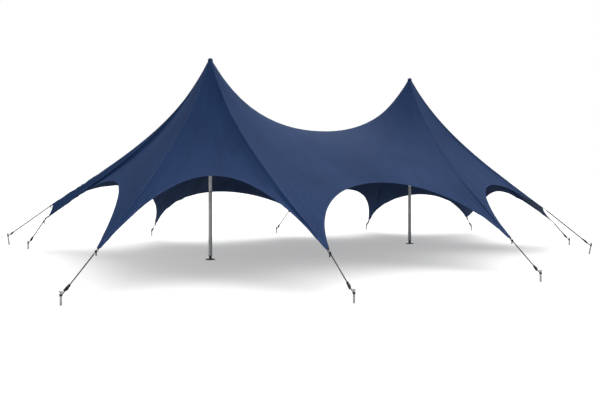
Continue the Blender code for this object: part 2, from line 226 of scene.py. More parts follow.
# %% [markdown]
# The stakes and feet are steel dipped in molten zinc. As the zinc cools it freezes into
# flat crystals, the spangle, about 10 mm across, each with its own grey, and the surface
# is dull. The ratchets and buckles are steel with a thin black zinc finish that has worn
# a little, so small bare patches shine through it.

# %% Galvanised steel and black steel
SPANGLE = 10 * MM
CLOUDS = 14.0  # duller and brighter patches of 70 mm
GRAIN = 350.0  # the zinc's roughness, in grains of 3 mm
RUBBED = 160.0  # patches of 6 mm


def galvanised_steel(name, dark, light, rough):
    """Hot-dip galvanised steel with its spangle."""
    mat, tree, shader = new_material(name, Metallic=1.0)
    place = add_node(tree, "TexCoord").outputs["Object"]
    spangle = add_node(tree, "TexVoronoi", {"Vector": place, "Scale": 1 / SPANGLE})
    grey = add_node(tree, "SeparateColor", {"Color": spangle.outputs["Color"]})
    cloud = add_node(tree, "TexNoise", {"Vector": place, "Scale": CLOUDS, "Detail": 4.0})
    share = add_node(tree, "Math", {0: grey, 1: 0.45, 2: cloud}, operation="MULTIPLY_ADD")
    tone = add_node(tree, "Mix", {"Factor": share, "A": linear(dark), "B": linear(light)},
                    data_type="RGBA")
    dull = add_node(tree, "MapRange", {"Value": cloud, "From Min": 0.3, "From Max": 0.7,
                                       "To Min": rough - 0.07, "To Max": rough + 0.07})
    grain = add_node(tree, "TexNoise", {"Vector": place, "Scale": GRAIN, "Detail": 2.0})
    finish_material(tree, shader, tone, grain, 0.15 * MM, 0.5, dull)
    return mat


def black_steel(name, dark, light):
    """Steel with a black zinc finish, rubbed bare in small patches."""
    mat, tree, shader = new_material(name, Metallic=0.85)
    place = add_node(tree, "TexCoord").outputs["Object"]
    rub = add_node(tree, "TexNoise", {"Vector": place, "Scale": RUBBED, "Detail": 6.0,
                                      "Roughness": 0.7})
    share = add_node(tree, "MapRange", {"Value": rub, "From Min": 0.5, "From Max": 0.75})
    tone = add_node(tree, "Mix", {"Factor": share, "A": linear(dark), "B": linear(light)},
                    data_type="RGBA")
    dull = add_node(tree, "MapRange", {"Value": rub, "To Min": 0.6, "To Max": 0.4})
    finish_material(tree, shader, tone, rub, 0.1 * MM, 0.5, dull)
    return mat


stake_zinc = galvanised_steel("galvanised_steel_bright", "8E9092", "BDBFC1", 0.5)
foot_zinc = galvanised_steel("galvanised_steel_dull", "4A4C4E", "6E7072", 0.58)
ratchet_black = black_steel("black_zinc_steel", "26272A", "56585C")
print("steel drawn with a spangle of", SPANGLE / MM, "mm")

# %% [markdown]
# The poles are extruded aluminium, anodised: satin, with fine lines along them. The clear
# film scatters part of the light as paint does, and the metal below reflects the rest, so
# the material is only partly metallic. Caps and bushes are moulded rubber and nylon, whose
# mould was eroded by sparks and leaves a fine matt grain.

# %% Anodised aluminium, rubber and nylon
DRAWING_LINE = 2 * MM  # about 0.5 mm on a real tube, drawn coarser so that it shows
ALONG_THE_TUBE = (1.0, 1.0, 0.01)
TUBE_CLOUDS = 3.0  # the film's tone changes over 0.3 m
MOULD_GRAIN = 1.5 * MM


def anodised_aluminium(name, dark, light):
    """Extruded and anodised tube: the drawing lines run along Z."""
    mat, tree, shader = new_material(name, Metallic=0.15)
    place = add_node(tree, "TexCoord").outputs["Object"]
    pulled = add_node(tree, "Mapping", {"Vector": place, "Scale": ALONG_THE_TUBE})
    lines = add_node(tree, "TexNoise", {"Vector": pulled, "Scale": 1 / DRAWING_LINE,
                                        "Detail": 3.0})
    cloud = add_node(tree, "TexNoise", {"Vector": place, "Scale": TUBE_CLOUDS, "Detail": 3.0})
    share = add_node(tree, "Math", {0: lines, 1: cloud}, operation="MULTIPLY")
    wide = add_node(tree, "MapRange", {"Value": share, "From Min": 0.1, "From Max": 0.4})
    tone = add_node(tree, "Mix", {"Factor": wide, "A": linear(dark), "B": linear(light)},
                    data_type="RGBA")
    dull = add_node(tree, "MapRange", {"Value": lines, "To Min": 0.42, "To Max": 0.56})
    finish_material(tree, shader, tone, lines, 0.05 * MM, 0.4, dull)
    return mat


def moulded_plastic(name, dark, light):
    """Moulded rubber or nylon with its fine grain."""
    mat, tree, shader = new_material(name, IOR=1.5, Specular_IOR_Level=0.35)
    place = add_node(tree, "TexCoord").outputs["Object"]
    grain = add_node(tree, "TexNoise", {"Vector": place, "Scale": 1 / MOULD_GRAIN, "Detail": 2.0})
    tone = add_node(tree, "Mix", {"Factor": grain, "A": linear(dark), "B": linear(light)},
                    data_type="RGBA")
    dull = add_node(tree, "MapRange", {"Value": grain, "To Min": 0.6, "To Max": 0.7})
    finish_material(tree, shader, tone, grain, 0.2 * MM, 0.4, dull)
    return mat


pole_aluminium = anodised_aluminium("anodised_aluminium", "D6D7D8", "E8E9EA")
cap_rubber = moulded_plastic("moulded_rubber", "1B2C4E", "263A61")
bush_nylon = moulded_plastic("moulded_nylon", "2A2B2D", "36373A")
print("materials made:", len(bpy.data.materials))

# %% [markdown]
# The canopy's shape follows from a few places: two pole heads, eleven leg tips and the
# arch between each two legs. They are the same values as in the working model. A leg has
# its pole, its stake's foot, the tip of its cloth, the stake's height and lean, and the
# turn of its ridge at the pole head in degrees. An arch is a curve between two tips, and
# each of its ends has a reach along the leg and a turn towards the other end.

# %% Legs and arches
Leg = namedtuple("Leg", "name pole stake tip height lean turn")
Arch = namedtuple("Arch", "node first_reach last_reach first_turn last_turn")
LEGS = [Leg(*row) for row in [
    ("front_left", "left", (-7.31, -3.44), (-6.59, -2.807, 0.804), 0.23, 0.00, 0),
    ("front_centre_left", "left", (-3.14, -5.67), (-3.171, -4.923, 0.80), 0.23, 0.00, 0),
    ("front_centre_right", "right", (1.10, -5.96), (1.408, -4.952, 0.738), 0.23, 0.00, 0),
    ("right_front", "right", (5.44, -4.06), (4.87, -3.15, 1.14), 0.30, 0.18, -5),
    ("right_end", "right", (6.66, -2.61), (6.28, -2.35, 0.67), 0.22, 0.00, 5),
    ("back_right", "right", (7.40, 1.89), (6.98, 1.71, 0.52), 0.22, 0.00, 0),
    ("back_centre_right", "right", (4.37, 4.11), (4.25, 3.77, 0.40), 0.22, 0.00, 0),
    ("back_centre", "right", (0.89, 4.60), (0.924, 3.678, 0.896), 0.22, 0.00, 0),
    ("back_left", "left", (-3.07, 5.96), (-3.10, 5.38, 0.50), 0.22, 0.00, 0),
    ("left_back", "left", (-7.365, 5.59), (-6.37, 4.20, 1.23), 0.34, 0.18, -12),
    ("left_end", "left", (-6.99, 4.35), (-6.60, 3.88, 0.86), 0.23, 0.00, 12),
]]
ARCHES = [Arch(*row) for row in [
    ("canopy_front_left", 0.52, 0.69, 0.10, 0.06),
    ("canopy_front_right", 0.75, 0.59, 0.295, 0.20),
    ("canopy_right_front", 0.34, 0.48, 0.00, 0.08),
    ("canopy_right_end", 0.06, 0.06, 0.30, 0.30),
    ("canopy_right_back", 0.46, 0.84, 0.00, 0.65),
    ("canopy_back_right", 0.44, 0.28, 0.04, 0.00),
    ("canopy_back_centre", 0.57, 0.41, 0.23, 0.27),
    ("canopy_back_left", 0.70, 0.49, 0.62, 0.02),
    ("canopy_left_back", 0.45, 0.45, 0.15, 0.15),
    ("canopy_left_end", 0.03, 0.03, 0.30, 0.30),
    ("canopy_left_front", 0.15, 1.14, 0.00, 0.35),
]]
POLES = {side: np.array(sum(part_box(f"pole_{side}_foot"), Vector())[:2]) / 2
         for side in ("left", "right")}
TIP_HALF_WIDTH = 0.040
print("poles stand at", {side: [round(float(v), 3) for v in at] for side, at in POLES.items()})

# %% [markdown]
# Every thread of the cloth is drawn as a line that is straight from above. It starts at
# a pole's ring, or on the saddle between the poles, and ends on the arch. A share from 0
# to 1 says which line of a panel it is. A panel is narrow, hangs on a single pole, or
# reaches both.

# %% Ridges, tips and kinds of panel
NARROW_PANEL = 2.0
RING_RADIUS = 0.055


def unit(vector):
    """A vector of the same direction and length 1."""
    return vector / np.linalg.norm(vector)


def legs_of(index):
    """The two legs of one panel."""
    return LEGS[index], LEGS[(index + 1) % len(LEGS)]


def kind_of(index):
    """Whether a panel is a narrow one, hangs on one pole, or reaches both."""
    first, last = legs_of(index)
    if first.pole != last.pole:
        return "double"
    width = np.linalg.norm(np.subtract(first.tip[:2], last.tip[:2]))
    return "narrow" if width < NARROW_PANEL else "single"


def ridge_start(leg):
    """Bearing at which a leg's ridge leaves the pole head."""
    run = np.array(leg.tip[:2]) - POLES[leg.pole]
    return math.atan2(run[1], run[0]) + math.radians(leg.turn)


def on_ring(centre, bearing):
    """The place on a pole's ring at a bearing."""
    return centre + RING_RADIUS * np.array((math.cos(bearing), math.sin(bearing)))


def tip_edge(leg, towards):
    """The end of the leg's cut tip on the side of another point."""
    tip = np.array(leg.tip)
    run = POLES[leg.pole] - tip[:2]
    side = unit(np.array((-run[1], run[0])))
    if side @ (np.array(towards[:2]) - tip[:2]) < 0:
        side = -side
    return tip + np.array((*side, 0.0)) * TIP_HALF_WIDTH


kinds = [kind_of(index) for index in range(len(LEGS))]
print("panels:", {kind: kinds.count(kind) for kind in ("narrow", "single", "double")})

# %% [markdown]
# Along the hem the lines first cross half of the cut tip, then follow the arch, and then
# cross half of the next tip. The arch is a cubic curve. Its two handles point up the legs
# at the cones' tops, because there the cloth pulls, and a little towards each other.

# %% Where the lines end
CONE_HEIGHT = 3.78
TIP_SHARE = {"narrow": 1 / 6, "single": 1 / 10, "double": 1 / 16}


def hem_points(index, shares):
    """Where the lines end: across the cut tip, along the arch, and across the next tip."""
    first, last = legs_of(index)
    arch = ARCHES[index]
    tip_share = TIP_SHARE[kind_of(index)]
    start, end = tip_edge(first, last.tip), tip_edge(last, first.tip)
    across = np.array(last.tip) - np.array(first.tip)
    up_first = np.array((*POLES[first.pole], CONE_HEIGHT)) - start
    up_last = np.array((*POLES[last.pole], CONE_HEIGHT)) - end
    turn, last_turn = arch.first_turn, arch.last_turn
    handle = start + arch.first_reach * ((1 - turn) * up_first + turn * across)
    last_handle = end + arch.last_reach * ((1 - last_turn) * up_last - last_turn * across)
    u = np.clip((shares - tip_share) / (1 - 2 * tip_share), 0, 1)[:, None]
    curve = ((1 - u) ** 3 * start + 3 * (1 - u) ** 2 * u * handle
             + 3 * (1 - u) * u ** 2 * last_handle + u ** 3 * end)
    before = (1 - np.clip(shares / tip_share, 0, 1))[:, None]
    after = (1 - np.clip((1 - shares) / tip_share, 0, 1))[:, None]
    return curve + before * (np.array(first.tip) - start) + after * (np.array(last.tip) - end)


tops = [hem_points(index, np.linspace(0, 1, 101))[:, 2].max() for index in range(len(LEGS))]
print("tops of the arches, in metres:", [round(float(top), 2) for top in tops])

# %% [markdown]
# A line of a panel on one pole leaves the pole's ring. On a panel that reaches both poles
# the lines at its sides do the same, and those in its middle leave the saddle, which hangs
# between the poles. The cloth turns over the saddle softly, and falls from a pole at once.

# %% Where the lines start
POLE_SHARE = 5 / 16
SADDLE_HEIGHT = 3.134
SADDLE_POWER = 2.2
SADDLE_SOFTNESS = 2.0


def turn_between(first, last, share):
    """A bearing part of the way from one bearing to another, the short way round."""
    swing = (last - first + math.pi) % (2 * math.pi) - math.pi
    return first + swing * share


def line_start(index, share):
    """Where a line starts, how high the cone or saddle is there, and how softly it leaves."""
    first, last = legs_of(index)
    near, far = POLES[first.pole], POLES[last.pole]
    if first.pole == last.pole:
        bearing = turn_between(ridge_start(first), ridge_start(last), share)
        return on_ring(near, bearing), CONE_HEIGHT, 0.0
    along = unit(far - near)
    ahead = math.atan2(along[1], along[0])
    place = (share - POLE_SHARE) / (1 - 2 * POLE_SHARE)
    if place <= 0:
        bearing = turn_between(ridge_start(first), ahead, share / POLE_SHARE)
        return on_ring(near, bearing), CONE_HEIGHT, 0.0
    if place >= 1:
        bearing = turn_between(ridge_start(last), ahead + math.pi, (1 - share) / POLE_SHARE)
        return on_ring(far, bearing), CONE_HEIGHT, 0.0
    span = np.linalg.norm(far - near) - 2 * RING_RADIUS
    height = SADDLE_HEIGHT + (CONE_HEIGHT - SADDLE_HEIGHT) * abs(1 - 2 * place) ** SADDLE_POWER
    softness = math.sin(math.pi * place) ** SADDLE_SOFTNESS
    return near + along * (RING_RADIUS + place * span), height, softness


middle_start, middle_height, _ = line_start(kinds.index("double"), 0.5)
print("middle of the saddle at x =", round(float(middle_start[0]), 2), "m, height",
      middle_height, "m")

# %% [markdown]
# A stretched cloth is never quite smooth. From each tip a fan of shallow creases runs up
# the leg, because the pull of the guy spreads out there. The creases are waves in the
# bearing seen from the tip, so they grow wider with the distance. They are part of the
# mesh, and the waves that repeat are mixed, so that no two creases are alike.

# %% Creases
CREASE_SLOPE = 1.5
CREASE_SPACING = math.radians(6.0)
CREASE_SPREAD = math.radians(34)
CREASE_REACH = 0.38  # share of the way from the tip to the pole
luck = np.random.default_rng(11)
FANS = []
for leg in LEGS:
    tip, pole = np.array(leg.tip[:2]), POLES[leg.pole]
    length = CREASE_REACH * np.linalg.norm(pole - tip)
    FANS.append((tip, math.atan2(*(pole - tip)[::-1]), length, luck.uniform(0, 2 * math.pi, 3)))


def crease_rise(xy):
    """Height that the creases near the tips add to the cloth."""
    rise = np.zeros(xy.shape[:-1])
    for tip, middle, length, phase in FANS:
        run = xy - tip
        away = np.hypot(run[..., 0], run[..., 1])
        turn = np.arctan2(run[..., 1], run[..., 0]) - middle
        turn = (turn + np.pi) % (2 * np.pi) - np.pi
        count = 2 * np.pi * turn / CREASE_SPACING
        ripple = (0.65 + 0.35 * np.sin(0.31 * count + phase[0])) * np.sin(count + phase[1])
        ripple += 0.3 * np.sin(1.7 * count + phase[2])
        height = CREASE_SLOPE * away * CREASE_SPACING / (2 * np.pi)
        fade = (1 - np.clip(away / length, 0, 1)) ** 0.8 * np.exp(-(turn / CREASE_SPREAD) ** 4)
        rise += height * ripple * fade
    return rise


print("creases run up the legs for", [round(float(fan[2]), 1) for fan in FANS], "m")

# %% [markdown]
# Between the legs the cloth carries long soft waves along its lines. They are a few
# millimetres high, and they die out at the seams, which are sewn double, and at the pole.

# %% Waves
WAVE_HEIGHT = 2.5 * MM
WAVE_COUNTS = (3, 5, 8, 12)
PANEL_WIDTH = {"narrow": 0.4, "single": 1.0, "double": 1.6}


def wave_rise(index, shares, falls):
    """Height of the long soft waves, which die out at the seams and at the pole."""
    dice = np.random.default_rng(100 + index)
    width = PANEL_WIDTH[kind_of(index)]
    rise = np.zeros((len(shares), len(falls)))
    for count in WAVE_COUNTS:
        phase, swing = dice.uniform(0, 2 * np.pi), dice.uniform(-1.0, 1.0)
        wave = np.sin(2 * np.pi * count * width * shares[:, None] + phase
                      + swing * 2 * falls[None, :])
        rise += WAVE_HEIGHT * wave * (WAVE_COUNTS[0] / count) ** 0.5
    edge = np.sin(np.pi * shares)[:, None] ** 0.7
    return rise * edge * np.sin(np.pi * np.clip(falls, 0, 0.97))[None, :] ** 0.8


steps = np.linspace(0, 1, 21)
print("waves on the first panel rise",
      round(float(wave_rise(0, steps, steps).max()) / MM, 1), "mm")

# %% [markdown]
# From its start a line falls evenly to the hem, as on a cone. Near a pole the cloth is
# pulled up to a horn, which dies away with the distance from the pole, and between two
# ridges it sags a little. A fall from 0 to 1 says how far down the line a point is.

# %% The surface of the cloth
_, UPPER_TOP = (corner.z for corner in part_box("pole_left_upper_tube"))
RING_HEIGHT = UPPER_TOP - 3.2 * MM
HORN_REACH = 0.977
BAY_SAG = {"narrow": 0.02, "single": 0.14, "double": 0.14}
BAY_SAG_POWER = 1.5


def horn(xy):
    """Rise of the cloth near the two poles, as a share of the rise at a pole head."""
    return sum(np.exp(-np.linalg.norm(xy - at, axis=-1) / HORN_REACH) for at in POLES.values())


def cloth_points(index, shares, falls):
    """Points of one panel, for each share and each fall."""
    shares, falls = np.asarray(shares, float), np.asarray(falls, float)
    start, height, soft = map(np.array, zip(*[line_start(index, share) for share in shares]))
    hem = hem_points(index, shares)
    horn_height = (RING_HEIGHT - CONE_HEIGHT) / horn(POLES["left"] + (RING_RADIUS, 0))
    down = falls[None, :]
    xy = start[:, None] + (hem[:, None, :2] - start[:, None]) * down[..., None]
    fall = (1 - soft[:, None]) * down + soft[:, None] * down ** 2
    rise = horn_height * (horn(xy) - horn(hem[:, :2])[:, None] * down)
    depth = 4 * BAY_SAG[kind_of(index)]
    sag = depth * down * (1 - down) * np.sin(np.pi * shares).clip(0)[:, None] ** BAY_SAG_POWER
    z = height[:, None] - (height - hem[:, 2])[:, None] * fall + rise - sag
    z = z + crease_rise(xy) + wave_rise(index, shares, falls)
    return np.concatenate((xy, z[..., None]), axis=-1)


print("cloth held at", round(RING_HEIGHT, 3), "m on poles of", round(UPPER_TOP, 3), "m")

# %% [markdown]
# The panels are drawn on grids of points. The lines are set closer together near the tips,
# where the creases are, and the rows closer together near the pole, where the cloth bends.

# %% Lines and rows of the panels
TIP_COLUMNS = 4
FAN_COLUMNS = {"narrow": 6, "single": 18, "double": 24}
BAY_COLUMNS = {"narrow": 4, "single": 8, "double": 12}
SADDLE_COLUMNS = 24
FAN_REACH = 2.6
ROWS = 62
ROW_POWER = 1.3


def half_shares(kind, last):
    """Shares from a tip: a few across the tip, many over its creases, and the rest evenly."""
    tip = TIP_SHARE[kind]
    fan = FAN_REACH * tip
    return np.concatenate((np.linspace(0, tip, TIP_COLUMNS + 1),
                           np.linspace(tip, fan, FAN_COLUMNS[kind] + 1)[1:],
                           np.linspace(fan, last, BAY_COLUMNS[kind] + 1)[1:]))


def panel_shares(index):
    """The shares at which a panel's lines are drawn. On the saddle they are evenly spaced."""
    kind = kind_of(index)
    if kind != "double":
        half = half_shares(kind, 0.5)
        return np.concatenate((half, 1 - half[-2::-1]))
    half = half_shares(kind, POLE_SHARE)
    saddle = np.linspace(POLE_SHARE, 1 - POLE_SHARE, SADDLE_COLUMNS + 1)
    return np.concatenate((half, saddle[1:-1], 1 - half[::-1]))


falls = np.linspace(0, 1, ROWS + 1) ** ROW_POWER
GRIDS = [cloth_points(index, panel_shares(index), falls) for index in range(len(LEGS))]
print("lines of the panels:", [len(grid) for grid in GRIDS], "with", len(falls), "points each")

# %% [markdown]
# The canopy is one cloth, so it is one mesh: the panels share their points along the
# ridges and the saddle. Its UV map is in metres, so that the weave keeps its size.

# %% The canopy as one surface
MERGE_DISTANCE = 0.02 * MM
PANEL_UV_STEP = 13.0


def panel_mesh(bm, uv_layer, index, grid):
    """Add one panel's faces, with a UV map in metres."""
    shares = panel_shares(index)
    across = np.linalg.norm(grid[-1, -1] - grid[0, -1])
    down = np.linalg.norm(grid[len(shares) // 2, -1] - grid[len(shares) // 2, 0])
    verts = [[bm.verts.new(point) for point in line] for line in grid]
    for c in range(len(shares) - 1):
        for r in range(ROWS):
            cell = ((c, r), (c, r + 1), (c + 1, r + 1), (c + 1, r))
            face = bm.faces.new([verts[a][b] for a, b in cell])
            face.smooth = True
            for loop, (a, b) in zip(face.loops, cell):
                loop[uv_layer].uv = (shares[a] * across + index * PANEL_UV_STEP, falls[b] * down)


def mesh_object(name, bm, *materials):
    """Turn a bmesh into an object that holds these materials."""
    mesh = bpy.data.meshes.new(name)
    bm.to_mesh(mesh)
    bm.free()
    for mat in materials:
        mesh.materials.append(mat)
    obj = bpy.data.objects.new(name, mesh)
    bpy.context.collection.objects.link(obj)
    return obj


bm = bmesh.new()
uv_layer = bm.loops.layers.uv.new("cloth")
for index, grid in enumerate(GRIDS):
    panel_mesh(bm, uv_layer, index, grid)
bmesh.ops.remove_doubles(bm, verts=bm.verts[:], dist=MERGE_DISTANCE)
bmesh.ops.recalc_face_normals(bm, faces=bm.faces[:])
if sum(face.normal.z for face in bm.faces) < 0:
    bmesh.ops.reverse_faces(bm, faces=bm.faces[:])
surface = BVHTree.FromBMesh(bm)
canopy = mesh_object("canopy", bm, cloth_outside, cloth_inside)
print("canopy:", len(canopy.data.polygons), "faces in one surface")

# %% [markdown]
# Solidify gives the cloth its thickness and an inner face with a finish of its own. The
# real cloth is 0.7 mm thick. It is drawn at 2 mm, so that its two faces stay well apart.

# %% The canopy's thickness
CLOTH_THICKNESS = 2.0 * MM


def make_active(obj):
    """Select one object and nothing else, so that operators act on it alone."""
    bpy.ops.object.select_all(action="DESELECT")
    obj.select_set(True)
    bpy.context.view_layer.objects.active = obj


def apply_modifiers(obj):
    """Apply all of a piece's modifiers in their order."""
    make_active(obj)
    for modifier in list(obj.modifiers):
        bpy.ops.object.modifier_apply(modifier=modifier.name)


def add_to_tent(piece, slot, *nodes):
    """The piece rides with the tent and may replace nodes. Its slot is not used."""
    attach(piece, "root")
    if nodes:
        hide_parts(*nodes)


shell = canopy.modifiers.new("thickness", "SOLIDIFY")
shell.thickness = CLOTH_THICKNESS
shell.offset = 0.0
shell.material_offset = 1
shell.material_offset_rim = 0
apply_modifiers(canopy)
add_to_tent(canopy, "cloth", *[arch.node for arch in ARCHES])
print("canopy with both faces:", len(canopy.data.polygons), "faces")

# %% [markdown]
# A taut cloth tears first at its edges and seams, so they are doubled. A tape covers the
# seam along each ridge and along the saddle, a folded binding holds the edge of each arch,
# and each tip and each pole head has a patch. Each is drawn as a thin closed shell around
# the cloth, laid on the canopy's own points, so that it follows every crease.

# %% A shell of doubled cloth
def cloth_shell(name, middle, normals, height, uv):
    """A thin closed shell around a grid of points. It closes where its height is 0."""
    bm = bmesh.new()
    layer = bm.loops.layers.uv.new("cloth")
    rows, columns = height.shape
    for side in (1, -1):
        points = middle + side * normals * height[..., None]
        verts = [[bm.verts.new(point) for point in line] for line in points]
        for a in range(rows - 1):
            for b in range(columns - 1):
                corners = ((a, b), (a + 1, b), (a + 1, b + 1), (a, b + 1))[::side]
                face = bm.faces.new([verts[i][j] for i, j in corners])
                face.material_index = int(side < 0)
                for loop, (i, j) in zip(face.loops, corners):
                    loop[layer].uv = uv[i, j]
    bmesh.ops.remove_doubles(bm, verts=bm.verts[:], dist=MERGE_DISTANCE)
    bmesh.ops.recalc_face_normals(bm, faces=bm.faces[:])
    piece = mesh_object(name, bm, cloth_doubled, lining_doubled)
    make_active(piece)
    bpy.ops.object.shade_smooth_by_angle(angle=math.radians(40))
    return piece


def shell_height(shape, full, rows):
    """The shell's height across its shape, the same in every row, and 0 in the end rows."""
    height = np.tile(np.array(shape) * full, (rows, 1))
    height[0] = height[-1] = 0.0
    return height


def uv_grid(along, across):
    """A UV map for a grid of points, from its rows' and its columns' places in metres."""
    return np.stack(np.broadcast_arrays(along, across), axis=-1)


def run_lengths(points):
    """Distance run along a line of points, from its start."""
    return np.concatenate(((0.0,), np.cumsum(np.linalg.norm(np.diff(points, axis=0), axis=1))))


print("one thread of the canopy is", round(float(run_lengths(GRIDS[0][0])[-1]), 2), "m long")

# %% [markdown]
# A tape has seven points across: its two edges, where the shell closes, and five on top.
# They are found by walking from the seam along the lines of the cloth on both sides. Near
# a tip the leg has less room than the tape's width, and there the tape is narrower.

# %% Tapes over the seams
TAPE_HALF_WIDTH = 22 * MM
TAPE_HEIGHT = 2.2 * MM
TAPE_PLACES = np.array((-1.0, -0.93, -0.5, 0.0, 0.5, 0.93, 1.0))
TAPE_SHAPE = (0.0, 1.0, 1.0, 1.0, 1.0, 1.0, 0.0)
TAPE_ROOM = 0.4
NEAREST_LINES = 20
SADDLE_ROWS = 12


def walk(line, distances):
    """Points at given distances along a line of points."""
    places = run_lengths(line)
    return np.stack([np.interp(distances, places, line[:, k]) for k in range(3)], axis=1)


def grid_normals(grid):
    """Unit normals of a grid of points, pointing up."""
    normals = np.cross(np.gradient(grid, axis=0), np.gradient(grid, axis=1))
    normals /= np.maximum(np.linalg.norm(normals, axis=2, keepdims=True), 1e-12)
    return normals * np.where(normals[..., 2:3] < 0, -1.0, 1.0)


def seam_tape(name, pairs):
    """A tape along a seam. Each pair holds the cloth's lines that run away from it."""
    middle, widths = [], []
    for left, right in pairs:
        room = TAPE_ROOM * min(run_lengths(left)[-1], run_lengths(right)[-1])
        half = min(TAPE_HALF_WIDTH, room)
        places = TAPE_PLACES * half
        middle.append(np.vstack((walk(left, -places[:3]), left[:1], walk(right, places[4:]))))
        widths.append(half)
    middle = np.array(middle)
    height = shell_height(TAPE_SHAPE, TAPE_HEIGHT, len(middle))
    from_edge = np.outer(widths, 1 - np.abs(TAPE_PLACES))
    uv = uv_grid(run_lengths(middle[:, 3])[:, None], from_edge)
    return cloth_shell(name, middle, grid_normals(middle), height, uv)


trims = []
for index, leg in enumerate(LEGS):
    after, before = GRIDS[index], GRIDS[index - 1]
    pairs = [(after[:NEAREST_LINES, row], before[-NEAREST_LINES:, row][::-1])
             for row in range(1, ROWS + 1)]
    trims.append(seam_tape("seam_tape_" + leg.name, pairs))
front, back = (GRIDS[index] for index, kind in enumerate(kinds) if kind == "double")
first = len(half_shares("double", POLE_SHARE)) - 1
pairs = [(front[column, :SADDLE_ROWS], back[len(back) - 1 - column, :SADDLE_ROWS])
         for column in range(first, first + SADDLE_COLUMNS + 1)]
trims.append(seam_tape("seam_tape_saddle", pairs))
print(len(trims), "seam tapes")

# %% [markdown]
# A binding's width is measured square to the edge, so its points are found by casting rays
# down to the cloth. Near a tip the leg is narrower than two bindings, so there the width
# is cut back to the distance to the ridge. On steep cloth the step on the ground is shorter.

# %% Bindings along the arches
BINDING_WIDTH = 45 * MM
BINDING_HEIGHT = 2.4 * MM
BINDING_PLACES = (0.05, 0.5, 0.95, 1.0)
BINDING_SHAPE = (0.0, 0.8, 1.0, 1.0, 1.0, 0.0)
BINDING_FROM_INNER = (1.0, 1.0, 0.95, 0.5, 0.05, 0.0)
BINDING_OVERHANG = 1.5 * MM
BINDING_ROOM = 0.9
PROBE = 0.03
RAY_HEIGHT = 10.0


def on_cloth(xy, height=0.0):
    """The point of the cloth above a place on the ground, or nearest to it, and its normal."""
    hit, normal, _, _ = surface.ray_cast(Vector((*xy, RAY_HEIGHT)), Vector((0, 0, -1)))
    if hit is None:
        hit, normal, _, _ = surface.find_nearest(Vector((*xy, height)))
    return np.array(hit), np.array(normal)


def ridge_distance(xy, leg):
    """Distance in plan from a place to a leg's ridge."""
    top = on_ring(POLES[leg.pole], ridge_start(leg))
    run = unit(np.array(leg.tip[:2]) - top)
    away = xy - top
    return abs(run[0] * away[1] - run[1] * away[0])


def arch_binding(index):
    """The folded binding along one arch."""
    shares = panel_shares(index)
    tip_share = TIP_SHARE[kind_of(index)]
    shares = shares[(shares > tip_share) & (shares < 1 - tip_share)]
    edge = cloth_points(index, shares, (1.0,))[:, 0]
    inward = (cloth_points(index, shares, (0.97,))[:, 0] - edge)[:, :2]
    along = np.gradient(edge[:, :2], axis=0)
    along /= np.linalg.norm(along, axis=1, keepdims=True)
    square = inward - along * np.sum(inward * along, axis=1, keepdims=True)
    square /= np.linalg.norm(square, axis=1, keepdims=True)
    middle, normals, widths = [], [], []
    for point, way in zip(edge, square):
        probe, _ = on_cloth(point[:2] + way * PROBE, point[2])
        steep = min(1.0, PROBE / np.linalg.norm(probe - point))
        room = BINDING_ROOM * min(ridge_distance(point[:2], leg) for leg in legs_of(index))
        width = min(BINDING_WIDTH * steep, room)
        places = [on_cloth(point[:2] + way * width * place, point[2]) for place in BINDING_PLACES]
        hits, facings = [hit for hit, _ in places], [normal for _, normal in places]
        outward = (point - hits[0]) / max(np.linalg.norm(point - hits[0]), 1e-6)
        middle.append([point + outward * BINDING_OVERHANG, point] + hits)
        normals.append([facings[0]] * 2 + facings)
        widths.append(width / steep)
    middle, normals = np.array(middle), np.array(normals)
    height = shell_height(BINDING_SHAPE, BINDING_HEIGHT, len(middle))
    uv = uv_grid(run_lengths(middle[:, 1])[:, None], np.outer(widths, BINDING_FROM_INNER))
    name = ARCHES[index].node.replace("canopy", "arch_binding")
    return cloth_shell(name, middle, normals, height, uv)


trims += [arch_binding(index) for index in range(len(LEGS))]
print(len(LEGS), "arch bindings")

# %% [markdown]
# Each tip takes the whole pull of its guy, in a storm nearly the weight of a small car,
# so its corner is doubled once more, with a patch round both edges and the cut end.

# %% Patches at the tips
PATCH_LENGTH = 0.17
PATCH_HEIGHT = 3.4 * MM
PATCH_PLACES = np.array((-1.0, -0.95, -0.6, -0.3, 0.0, 0.3, 0.6, 0.95, 1.0))
PATCH_DOWNS = np.array((-0.02, 0.02, 0.15, 0.3, 0.45, 0.6, 0.75, 0.9, 0.97, 1.0))
PATCH_ROUNDING = 0.35
PATCH_INNER = 0.95
WRAP = 2.5 * MM
END_WRAP = 6 * MM
PATCH_UV_WIDTH = 0.1


def leg_half_width(index, tip, inward, square):
    """How wide the leg is on one side: distances from its tip, and the width at each."""
    hems = (hem_points(index, np.linspace(0, 0.5, 200)),
            hem_points(index - 1, np.linspace(1, 0.5, 200)))
    aways = [hem[:, :2] - tip for hem in hems]
    away = max(aways, key=lambda run: (run @ square).sum())
    return np.maximum.accumulate(away @ inward), away @ square


